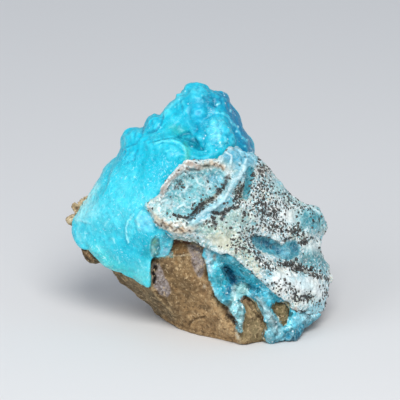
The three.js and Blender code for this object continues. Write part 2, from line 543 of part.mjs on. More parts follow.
const VUG = {
  middle: [16, 19],
  rim: [
    // left lip, going down to the foot of the left rib
    [1.7, 33.3, -19.5], [1.7, 30.3, -19.8], [2.3, 27, -20.2], [3, 23.7, -20.6], [4, 20.3, -21], [5.7, 17, -21.6],
    [7.3, 15.3, -22], [9, 14.3, -22.3], [10.3, 12.3, -22.5], [12, 10, -23], [12.7, 7.7, -23.5], [13, 5.3, -24],
    [14, 4.7, -23.8], [16, 4.5, -20], [19, 4, -18.5],
    // foot of the right rib, then the toe
    [22, 2, -20], [24, 1.5, -21], [26, 1.7, -20.5], [28, 2.3, -19.5], [30, 2, -19.5], [32.3, 2, -19],
    [33.3, 3.7, -16.5], [35, 5.7, -13], [37.7, 8, -10], [40.7, 10.2, -6.5],
    // upper edge, under the pale druse
    [39, 13, -7], [33, 15, -13.5], [28.5, 17.5, -16.5], [24, 20.5, -18.5], [19, 25, -20], [14, 29.5, -20.5],
    [9, 32.7, -20], [5, 34, -19],
  ],
  front: [
    // left lip and upper wall
    [4, 30.7, -20.3], [6.7, 29.7, -19.5], [5, 27.3, -19.5], [9.3, 29, -18.5], [11, 27, -16.3], [14.3, 25.3, -16],
    [17.7, 22, -16], [20.7, 19, -17], [24, 16.9, -18],
    // slit
    [8.3, 25.7, -13.5], [10.7, 23, -12.3], [12.7, 20.7, -13.3], [16.7, 19.5, -14.5],
    // lobe at its lower left
    [4.3, 24, -21], [6.7, 25, -18.5], [6, 19.7, -21.5], [8.7, 20.7, -18.5], [8, 16.5, -22], [10, 18.3, -19.5],
    // left rib, with its head
    [12.7, 18.5, -19.8], [15, 19, -18.8], [11.7, 15, -22.2], [13.3, 12.3, -23.4], [13.3, 8.7, -24], [16.7, 17, -20],
    // sunk behind the first window
    [16, 14.3, -16.5], [18, 9.7, -17.5], [19.3, 5, -17.5],
    // right rib
    [20.7, 15, -21], [22, 12.3, -21.7], [24.3, 9, -22.2], [25.3, 5, -22.5], [23.3, 3.7, -22.3],
    // sunk behind the second window
    [26.3, 12.7, -15], [28.3, 10.5, -15], [28.3, 6.3, -16],
    // toe
    [31, 6.7, -19], [33.3, 8.3, -16.7], [36, 9.3, -13.3], [31.7, 11.7, -17], [38.7, 9.7, -9.7],
  ],
  back: [
    [10, -2, 16], [20, -6, 12], [30, -4, 8], [14, -4, 8],
  ],
};

function lining(p) {
  return 0.7 * grapes(p, 3.6) + 0.4 * rough(p, 3) - 0.35;
}

// ---- Assembly ----

const RESTING = above(0);
const CLEAR_OF_TABLE = above(CLEARANCE);

const matrixCage = cage(MATRIX);
const matrixRoom = solidOf(grown(refine(matrixCage, 2 * MATRIX_EDGE), FRACTURE_DEPTH * 0.6 + CLEARANCE));
const matrix = main(solidOf(sculpt(refine(matrixCage, MATRIX_EDGE), fractured)).intersect(RESTING));

const blueSkin = sculpt(rounded(refine(cage(BLUE), BLUE_EDGE), 2), botryoidal);
const blueRoom = solidOf(grown(blueSkin, CLEARANCE));
const blue = main(solidOf(blueSkin).subtract(matrixRoom));

const paleSkin = sculpt(refine(cage(PALE), PALE_EDGE), druse);
const paleRoom = solidOf(grown(paleSkin, CLEARANCE));
const pale = main(solidOf(paleSkin).subtract(matrixRoom).subtract(blueRoom));

const vugSkin = sculpt(refine(cage(VUG), VUG_EDGE), lining);
const vug = main(
  solidOf(vugSkin).subtract(matrixRoom).subtract(paleRoom).subtract(blueRoom).intersect(CLEAR_OF_TABLE),
);

const specimen = new THREE.Group();
specimen.add(
  pieceOf("matrix", matrix, { color: 0x8c6a45, roughness: 0.9 }),
  pieceOf("blue_crust", blue, { color: 0x35c3dc, roughness: 0.35 }),
  pieceOf("pale_druse", pale, { color: 0xd5e2df, roughness: 0.7 }),
  pieceOf("vug_lining", vug, { color: 0x2aa3c0, roughness: 0.4 }),
);

// The origin is under the middle of the specimen, on the resting face.
const bounds = new THREE.Box3().setFromObject(specimen);
const middle = bounds.getCenter(new THREE.Vector3());
specimen.position.set(-middle.x, -middle.y, -bounds.min.z);

const part = new THREE.Group();
part.add(specimen);

export default part;
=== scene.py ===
"""Looks of the hemimorphite specimen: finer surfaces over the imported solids, their colours, oxide grains and light.

Places on the display side are read on its sheet: u to the right and v down, in thirds of a millimetre, on the plane
that leans back to face the display side. Relief and the sizes of noise are in millimetres, and the scene in metres.
Each noise has a salt, the seed of its random numbers.
"""

import math
from itertools import cycle, product

import bpy
import numpy as np
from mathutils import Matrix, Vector
from mathutils.bvhtree import BVHTree


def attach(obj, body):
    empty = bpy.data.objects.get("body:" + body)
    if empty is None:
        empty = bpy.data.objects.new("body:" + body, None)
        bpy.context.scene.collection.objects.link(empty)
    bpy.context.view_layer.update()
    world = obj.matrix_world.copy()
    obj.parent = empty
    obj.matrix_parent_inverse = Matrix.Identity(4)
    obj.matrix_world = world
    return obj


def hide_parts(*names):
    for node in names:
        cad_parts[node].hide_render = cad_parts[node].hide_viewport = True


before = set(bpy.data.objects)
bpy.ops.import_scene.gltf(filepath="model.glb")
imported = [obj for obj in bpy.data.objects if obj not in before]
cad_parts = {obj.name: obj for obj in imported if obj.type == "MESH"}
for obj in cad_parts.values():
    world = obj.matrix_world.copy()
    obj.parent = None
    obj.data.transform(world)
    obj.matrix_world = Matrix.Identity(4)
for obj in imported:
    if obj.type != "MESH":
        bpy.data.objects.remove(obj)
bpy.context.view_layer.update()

MM_PER_M = 1000
LEAN = math.radians(20)
ORIGIN = (0.44, -29.6)  # x and y in the part's frame, in millimetres, of the place that the sheet has at FOOT
FOOT = (200, 347)
PER_MM = 3
TOWARDS = np.array([0.0, -math.cos(LEAN), math.sin(LEAN)])  # from the specimen to who looks at its display side


# ---- Numbers on arrays of points ----

NOISE_GAIN = 1.7  # brings gradient noise to about -1 to 1
CREASE = 0.7  # the height of round lumps where they meet


def smooth(low, high, x):
    t = np.clip((x - low) / (high - low), 0, 1)
    return t * t * (3 - 2 * t)


def lattice(p, size, salt, width):
    """A lattice of cells for points p: each point's place in it, its cell, and `width` repeatable numbers a cell."""
    q = p / size
    q = q - np.floor(q.min(0)) + 2
    cell = np.floor(q).astype(int)
    return q, cell, np.random.default_rng(salt).random((*(cell.max(0) + 3), width))


def rolls(p, size, salt):
    """Rolling gradient noise."""
    q, cell, table = lattice(p, size, salt, 3)
    slopes = table * 2 - 1
    f = q - cell
    w = f * f * f * (f * (f * 6 - 15) + 10)
    total = np.zeros(len(p))
    for corner in product((0, 1), repeat=3):
        value = ((f - corner) * slopes[tuple((cell + corner).T)]).sum(1)
        total += np.abs(1 - np.array(corner) - w).prod(1) * value
    return total * NOISE_GAIN


def rough(p, size, salt, octaves=4):
    return sum(rolls(p, size / 2**o, salt + o) / 2**o for o in range(octaves))


def lumps(p, size, salt, softness=0.0):
    """Of lumps packed at about `size` apart: how far the nearest and the next are, over size, and the nearest's number.
    With a softness the nearest distance rounds the creases between lumps."""
    q, cell, table = lattice(p, size, salt, 4)
    near = np.full(len(p), 9.0)
    following = near.copy()
    number, total = np.zeros((2, len(p)))
    for step in product((-1, 0, 1), repeat=3):
        at = cell + step
        seed = table[tuple(at.T)]
        d = np.sqrt(((q - at - seed[:, :3]) ** 2).sum(1))
        if softness:
            total += np.exp(-d / softness)
        closer = d < near
        following = np.where(closer, near, np.minimum(following, d))
        number = np.where(closer, seed[:, 3], number)
        near = np.where(closer, d, near)
    return (-softness * np.log(total) if softness else near), following, number


def domes(p, size, salt, softness=0.0):
    """Packed round lumps, about 0 in the creases and 1 on the crowns."""
    near = lumps(p, size, salt, softness)[0]
    return (np.sqrt(np.clip(1 - np.clip(near, 0, 1) ** 2, 0, 1)) - CREASE) / (1 - CREASE)


def facets(p, size, salt):
    """Packed crystals with flat sides, 0 in the creases and up to about 1 at the points."""
    near, following, number = lumps(p, size, salt)
    return (following - near) * (0.4 + 0.9 * number)


def ridges(p, size, salt, sharp):
    """Thin crooked ridges: 1 along them and 0 away from them."""
    warped = p + 0.35 * size * np.stack([rolls(p, size * 0.7, salt + k) for k in (1, 2, 3)], 1)
    return np.clip(1 - np.abs(rolls(warped, size, salt)), 0, 1) ** sharp


# ---- The sheet of the display side ----


def sheet(p):
    across = p[:, 0] - ORIGIN[0]
    up = p[:, 2] * math.cos(LEAN) + (p[:, 1] - ORIGIN[1]) * math.sin(LEAN)
    return np.stack([FOOT[0] + PER_MM * across, FOOT[1] - PER_MM * up], 1)


def from_line(uv, points):
    """Distance of each place from a polyline."""
    best = np.full(len(uv), 1e9)
    points = np.array(points, float)
    for a, b in zip(points[:-1], points[1:]):
        d = b - a
        t = np.clip(((uv - a) @ d) / (d @ d), 0, 1)
        best = np.minimum(best, np.hypot(*(uv - a - t[:, None] * d).T))
    return best


def within(uv, outline):
    """How deep each place is inside an outline, and below 0 outside it."""
    edge = from_line(uv, outline + outline[:1])
    odd = np.zeros(len(uv), bool)
    for (au, av), (bu, bv) in zip(outline, outline[1:] + outline[:1]):
        if av != bv:
            crossed = uv[:, 0] < au + (uv[:, 1] - av) * (bu - au) / (bv - av)
            odd ^= ((av > uv[:, 1]) != (bv > uv[:, 1])) & crossed
    return np.where(odd, edge, -edge)


def area(uv, outline, soft=2.0):
    return smooth(-soft, soft, within(uv, outline))


def spot(uv, u, v, ru, rv=None, tilt=0.0):
    """A soft round spot: 1 in its middle, and fading out past its radii."""
    c, s = math.cos(math.radians(tilt)), math.sin(math.radians(tilt))
    du, dv = uv[:, 0] - u, uv[:, 1] - v
    a, b = (du * c + dv * s) / ru, (-du * s + dv * c) / (rv or ru)
    return np.exp(-((a * a + b * b) ** 1.5))


# A mark is where one feature of the display side is, as a share from 0 to 1 at each place of the sheet.
# After a mark's width or softness its points follow, u before v.


def pairs(points):
    return np.reshape(points, (-1, 2)).tolist()


def Line(width, *points):
    return lambda uv: np.exp(-((from_line(uv, pairs(points)) / width) ** 2))


def Band(half, *points, soft=1.0):
    return lambda uv: smooth(half + soft, half - soft, from_line(uv, pairs(points)))


def Spot(*shape):
    return lambda uv: spot(uv, *shape)


def Patch(soft, *outline):
    return lambda uv: area(uv, pairs(outline), soft)


# Borders that growths share, then the growths' outlines, whose outer sides run outside the specimen
CREST = [
    (145, 206), (150, 200), (158, 197), (161, 193), (163, 188), (168, 180), (175, 172), (181, 165), (186, 161),
    (195, 161), (203, 163), (210, 160), (217, 158.5), (225, 153), (230, 147.5), (237, 146.5), (240, 149), (246, 154),
    (252, 153), (257, 157),
]
HEM = [(112, 272), (120, 273), (124, 276), (132, 279), (140, 284), (147, 288)]
STEP = [(150, 289), (150, 280), (149, 272), (151, 263), (152, 259), (160, 258.5), (172, 257), (171, 248), (173, 240)]
LIP = [
    (283, 298), (278, 294), (272, 288), (266, 281), (260, 278), (252, 270), (243, 262), (236, 257), (228, 250),
    (218, 250), (213, 247),
]
VUG_SIDE = [
    (205, 260), (207, 268), (209, 276), (212, 286), (217, 296), (222, 301), (227, 304), (231, 310), (236, 317),
    (238, 324), (239, 331),
]
ARCH_LEFT = [(237, 300), (242, 296), (252, 298), (257, 303), (260, 311), (266, 318), (269, 323), (267, 333)]
ARCH_RIGHT = [(286, 336), (283, 333), (281, 326), (276, 318), (271, 312), (269, 305), (280, 303), (290, 301)]

BLUE_AREA = [
    (72, 224), (72, 230), (73, 240), (76, 248), (80, 249), (88, 249), (92, 253), (95, 258), (100, 264), (107, 268),
    *HEM, *STEP, (176, 236), (170, 231), (160, 228), (153, 222), (150, 213),
    *CREST, (270, 150), (250, 75), (170, 60), (100, 120), (80, 165), (91, 190), (86, 197), (80, 205), (76, 213),
    (73, 220),
]
PALE_AREA = [
    *CREST, (275, 150), (350, 195), (350, 290), (335, 311), (325, 311), (318, 314), (310, 316), (303, 312), (298, 313),
    (293, 311), (290, 305), (290, 300),
    *LIP, (205, 240), (197, 235), (190, 233), (180, 234), (170, 231), (160, 228), (153, 222), (150, 213),
]
VUG_AREA = [
    (205, 247), *VUG_SIDE, (241, 335), (243, 320), (243, 305), *ARCH_LEFT, (266, 341), (272, 346), (300, 346),
    (325, 325), (327, 312), (318, 314), (310, 316), (300, 318), (287, 323), *ARCH_RIGHT, *LIP,
]
WINDOW_LEFT = [*ARCH_LEFT, (266, 343), (240, 343), (240, 333), (243, 320), (243, 305)]
WINDOW_RIGHT = [*ARCH_RIGHT[5:], (290, 308), (288, 320), (287, 330), *ARCH_RIGHT[:5]]
BROWN_AREA = [
    *STEP, (176, 237), (185, 240), (195, 243), (203, 246), *VUG_SIDE, (241, 350), (150, 345), (90, 285), *HEM,
]
DISH = [
    (165, 195), (175, 180), (185, 172), (200, 171), (215, 168), (224, 172), (226, 180), (222, 190), (212, 198),
    (200, 208), (192, 217), (178, 216), (168, 210), (163, 202),
]
PITS = [
    (250, 238), (256, 236), (266, 237), (274, 240), (283, 246), (288, 241), (296, 240), (302, 249), (299, 256),
    (289, 261), (279, 258), (265, 253), (256, 248),
]
MAUVE_LEFT = [
    (152, 264), (159, 264), (164, 276), (169, 286), (171, 293), (167, 298), (160, 295), (154, 288), (151, 277),
]
MAUVE_RIGHT = [
    (187, 245), (196, 245), (203, 250), (205, 262), (203, 275), (200, 279), (195, 272), (191.5, 262), (190, 254),
]
SHADED_UNDERSIDE = [
    (90, 262), (112, 272), (132, 279), (148, 289), (158, 300), (167, 309), (178, 321), (160, 325), (130, 305),
]

# Lines on the sheet
BLACK_BAND = [
    (176, 215.5), (183, 217.5), (190, 218.5), (194, 214), (199, 209), (203, 205), (208, 201.5), (214, 197.5),
    (219, 192.5), (223, 187), (226, 182), (228, 177),
]
ROPE = [(192, 222), (197, 217), (205, 211), (214, 207.5), (222, 202), (227, 195), (232, 185), (238, 177), (246, 167)]
SECOND_GROOVE = [(214, 212.5), (220, 214), (225, 212), (230, 209), (238, 207)]
TEAL_GROOVE = [(246, 196), (247, 188), (249, 180), (251, 170)]
RIM_TOP = [(160, 193), (166, 184), (174, 175), (183, 166), (190, 163), (200, 167), (212, 163), (226, 169)]
RIM_LOW = [(154, 213), (157, 220), (163, 225.5), (171, 229.5), (181, 231.5), (190, 229), (197, 224)]
CRACK_LEFT = [(153.5, 267), (152, 273), (153.5, 278), (152.5, 283)]

# ---- Surfaces in mesh arrays ----

FACING = (-0.12, 0.2)  # how far normals turn to the viewer where the display side begins, and where it is whole
ROUND = (0.5, -0.52)  # a round of softening: shares of the way in, then back out, to the mean of the neighbours


def read(items, name, width, kind=float):
    """A property of all of a mesh's items, as an array of rows of `width`."""
    values = np.empty(len(items) * width, kind)
    items.foreach_get(name, values)
    return values.reshape(-1, width)


def write(items, name, values):
    items.foreach_set(name, np.ravel(values))


def opaque(colours):
    return np.append(colours, np.ones((len(colours), 1)), 1)


class Surface:
    """A finer copy of a CAD node: its points in millimetres, and its normals, edges and places on the sheet."""

    def __init__(self, node, voxel, softening):
        made = bpy.data.objects.new(node + "_surface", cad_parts[node].data.copy())
        bpy.context.scene.collection.objects.link(made)
        remesh = made.modifiers.new("voxels", "REMESH")
        remesh.mode = "VOXEL"
        remesh.voxel_size = voxel / MM_PER_M
        remesh.use_smooth_shade = True
        mesh = bpy.data.meshes.new_from_object(made.evaluated_get(bpy.context.evaluated_depsgraph_get()))
        made.modifiers.clear()
        made.data = mesh
        self.node, self.object, self.mesh = node, made, mesh
        self.points = read(mesh.vertices, "co", 3) * MM_PER_M
        self.edges = read(mesh.edges, "vertices", 2, int)
        self.quads = read(mesh.loops, "vertex_index", 1, int).reshape(-1, 4)
        self.count = np.bincount(self.edges.ravel(), minlength=len(self.points))
        self.relax(softening)
        self.measure()
        self.facing = smooth(*FACING, self.normals @ TOWARDS)

    def spread(self, values):
        """The mean of each point's neighbours."""
        a, b = self.edges.T
        n = len(self.points)
        total = [np.bincount(a, column[b], n) + np.bincount(b, column[a], n) for column in values.T]
        return np.stack(total, 1) / self.count[:, None]

    def relax(self, rounds):
        """Rounds the facets off and keeps the size: each round moves the points in, then a little further out."""
        for _ in range(rounds):
            for share in ROUND:
                self.points += share * (self.spread(self.points) - self.points)

    def measure(self):
        a, b, c, d = (self.points[corner] for corner in self.quads.T)
        faces = np.cross(c - a, d - b)
        n = len(self.points)
        total = np.stack([sum(np.bincount(corner, side, n) for corner in self.quads.T) for side in faces.T], 1)
        self.normals = total / np.maximum(np.linalg.norm(total, axis=1), 1e-9)[:, None]
        self.uv = sheet(self.points)

    def rise(self, height):
        self.points += self.normals * height[:, None]
        self.measure()

    def carve(self, features):
        """Raises each feature of the display side by its height in millimetres."""
        seen = self.facing > 0
        uv = self.uv[seen]
        uneven = 0.75 + 0.6 * rolls(self.points[seen], 1.8, 19)
        height = np.zeros(len(self.points))
        for rise, _, _, *marks in features:
            for mark in marks if rise else ():
                height[seen] += rise * mark(uv) * uneven
        self.rise(height * self.facing)

    def keep_above(self, level):
        self.points[:, 2] = np.maximum(self.points[:, 2], level)

    def crown(self, reach):
        """How far each point stands out of what is `reach` rounds around it, in millimetres: below 0 in a crease."""
        flat = self.points.copy()
        for _ in range(reach):
            flat += 0.7 * (self.spread(flat) - flat)
        return ((self.points - flat) * self.normals).sum(1)

    def colour(self, tint):
        """Lays per-point screen colours, from 0 to 255, on the mesh."""
        c = np.clip(tint / 255, 0, 1)
        light = np.where(c <= 0.04045, c / 12.92, ((c + 0.055) / 1.055) ** 2.4)
        write(self.mesh.color_attributes.new("tint", "FLOAT_COLOR", "POINT").data, "color", opaque(light))

    def value(self, name, values):
        write(self.mesh.attributes.new(name, "FLOAT", "POINT").data, "value", values)

    def done(self, material):
        write(self.mesh.vertices, "co", self.points / MM_PER_M)
        write(self.mesh.polygons, "use_smooth", np.ones(len(self.mesh.polygons), bool))
        self.mesh.materials.clear()
        self.mesh.materials.append(material)
        self.mesh.update()
        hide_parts(self.node)
        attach(self.object, "root")


# ---- Dark oxide on the druse ----

# Where the oxide lies: (u, v, radius in u, radius in v, tilt, share)
OXIDE_SPOTS = [
    (262, 190, 12, 11, 30, 0.48), (258, 205, 10, 11, 30, 0.55), (268, 212, 15, 12, 25, 0.62),
    (273, 226, 17, 9, 18, 0.52), (297, 232, 9, 7, 20, 0.75), (271, 199, 10, 9, 30, 0.3), (252, 178, 5, 6, 0, 0.3),
    (250, 189, 4, 8, 0, 0.35), (245, 246, 10, 9, 15, 0.55), (252, 252, 6, 6, 0, 0.55), (240, 241, 6, 6, 0, 0.4),
    (258, 257, 7, 4, 35, 0.85), (266, 264, 7, 5, 35, 0.55), (274, 270, 4, 3, 0, 0.45), (288, 264, 9, 4, 5, 0.95),
    (299, 269, 9, 5, 10, 0.95), (310, 270, 8, 4, 12, 0.9), (305, 241, 7, 4, -35, 0.65), (297, 298, 5, 6, 0, 0.75),
    (309, 298, 6, 5, 0, 0.8), (281, 287, 14, 7, 18, 0.22), (288, 203, 13, 9, 30, 0.28), (302, 208, 9, 4, 10, 0.25),
    (264, 170, 8, 5, 25, 0.28), (319, 306, 5, 5, 0, 0.2), (312, 315, 6, 3, 0, 0.12), (319, 277, 9, 3, 18, 0.6),
    (328, 292, 5, 8, 0, 0.25), (288, 239, 9, 5, 0, 0.45), (241, 192, 6, 8, 20, 0.75), (239, 202, 5, 5, 0, 0.7),
    (214, 224, 3.5, 6, -15, 0.75), (226, 222, 10, 7, 0, 0.08), (247, 214, 10, 8, 0, 0.22), (206, 224, 8, 3, 0, 0.15),
    (178, 186, 5, 5, 0, 0.3), (186, 174, 6, 3, 0, 0.15), (234, 237, 7, 6, 15, 0.15), (318, 215, 8, 8, 0, 0.1),
    (302, 313, 5, 3, 0, 0.4), (252, 234, 12, 8, 20, 0.42), (236, 247, 8, 5, 15, 0.3), (275, 286, 5, 4, 0, 0.35),
    (290, 291, 5, 4, 0, 0.35), (226, 204, 3, 4, 30, 0.3),
]


def oxide_density(uv):
    """How thick the oxide lies at each place of the sheet, from 0 to 1."""
    d = np.full(len(uv), 0.01)
    for *where, share in OXIDE_SPOTS:
        d = np.maximum(d, share * spot(uv, *where))
    for path, width, share in (
        (BLACK_BAND[2:6], 3.8, 0.95), (BLACK_BAND[:3], 1.8, 0.9), (BLACK_BAND[5:], 2.2, 0.5), (SECOND_GROOVE, 1.8, 0.9),
    ):
        d = np.maximum(d, share * Line(width, *path)(uv))
    for bare, share in (
        (area(uv, PITS, 1.0), 1), (spot(uv, 291, 217, 8, 7), 0.7), (spot(uv, 236, 157, 18, 13), 0.9),
        (Line(5, *ROPE)(uv), 0.8), (Line(4, *TEAL_GROOVE)(uv), 0.95),
    ):
        d *= 1 - share * bare
    return d


# ---- Colours ----

BLUE = {"light": "#12c8e0", "mid": "#00b0ca", "deep": "#006894", "teal": "#0e8096", "milky": "#8ce8f2"}
PALE = {"white": "#dee6e4", "cream": "#d8d6be", "ice": "#a0d4e0", "grey": "#a8bcb8"}
ROCK = {
    "light": "#b0926a", "mid": "#886e4c", "dark": "#5a4833", "mauve": "#9c8e90", "orange": "#ac8050",
    "black": "#221e1e",
}
VUG = {"light": "#6ecedc", "mid": "#1c9eb8", "deep": "#006886", "dark": "#004a68"}

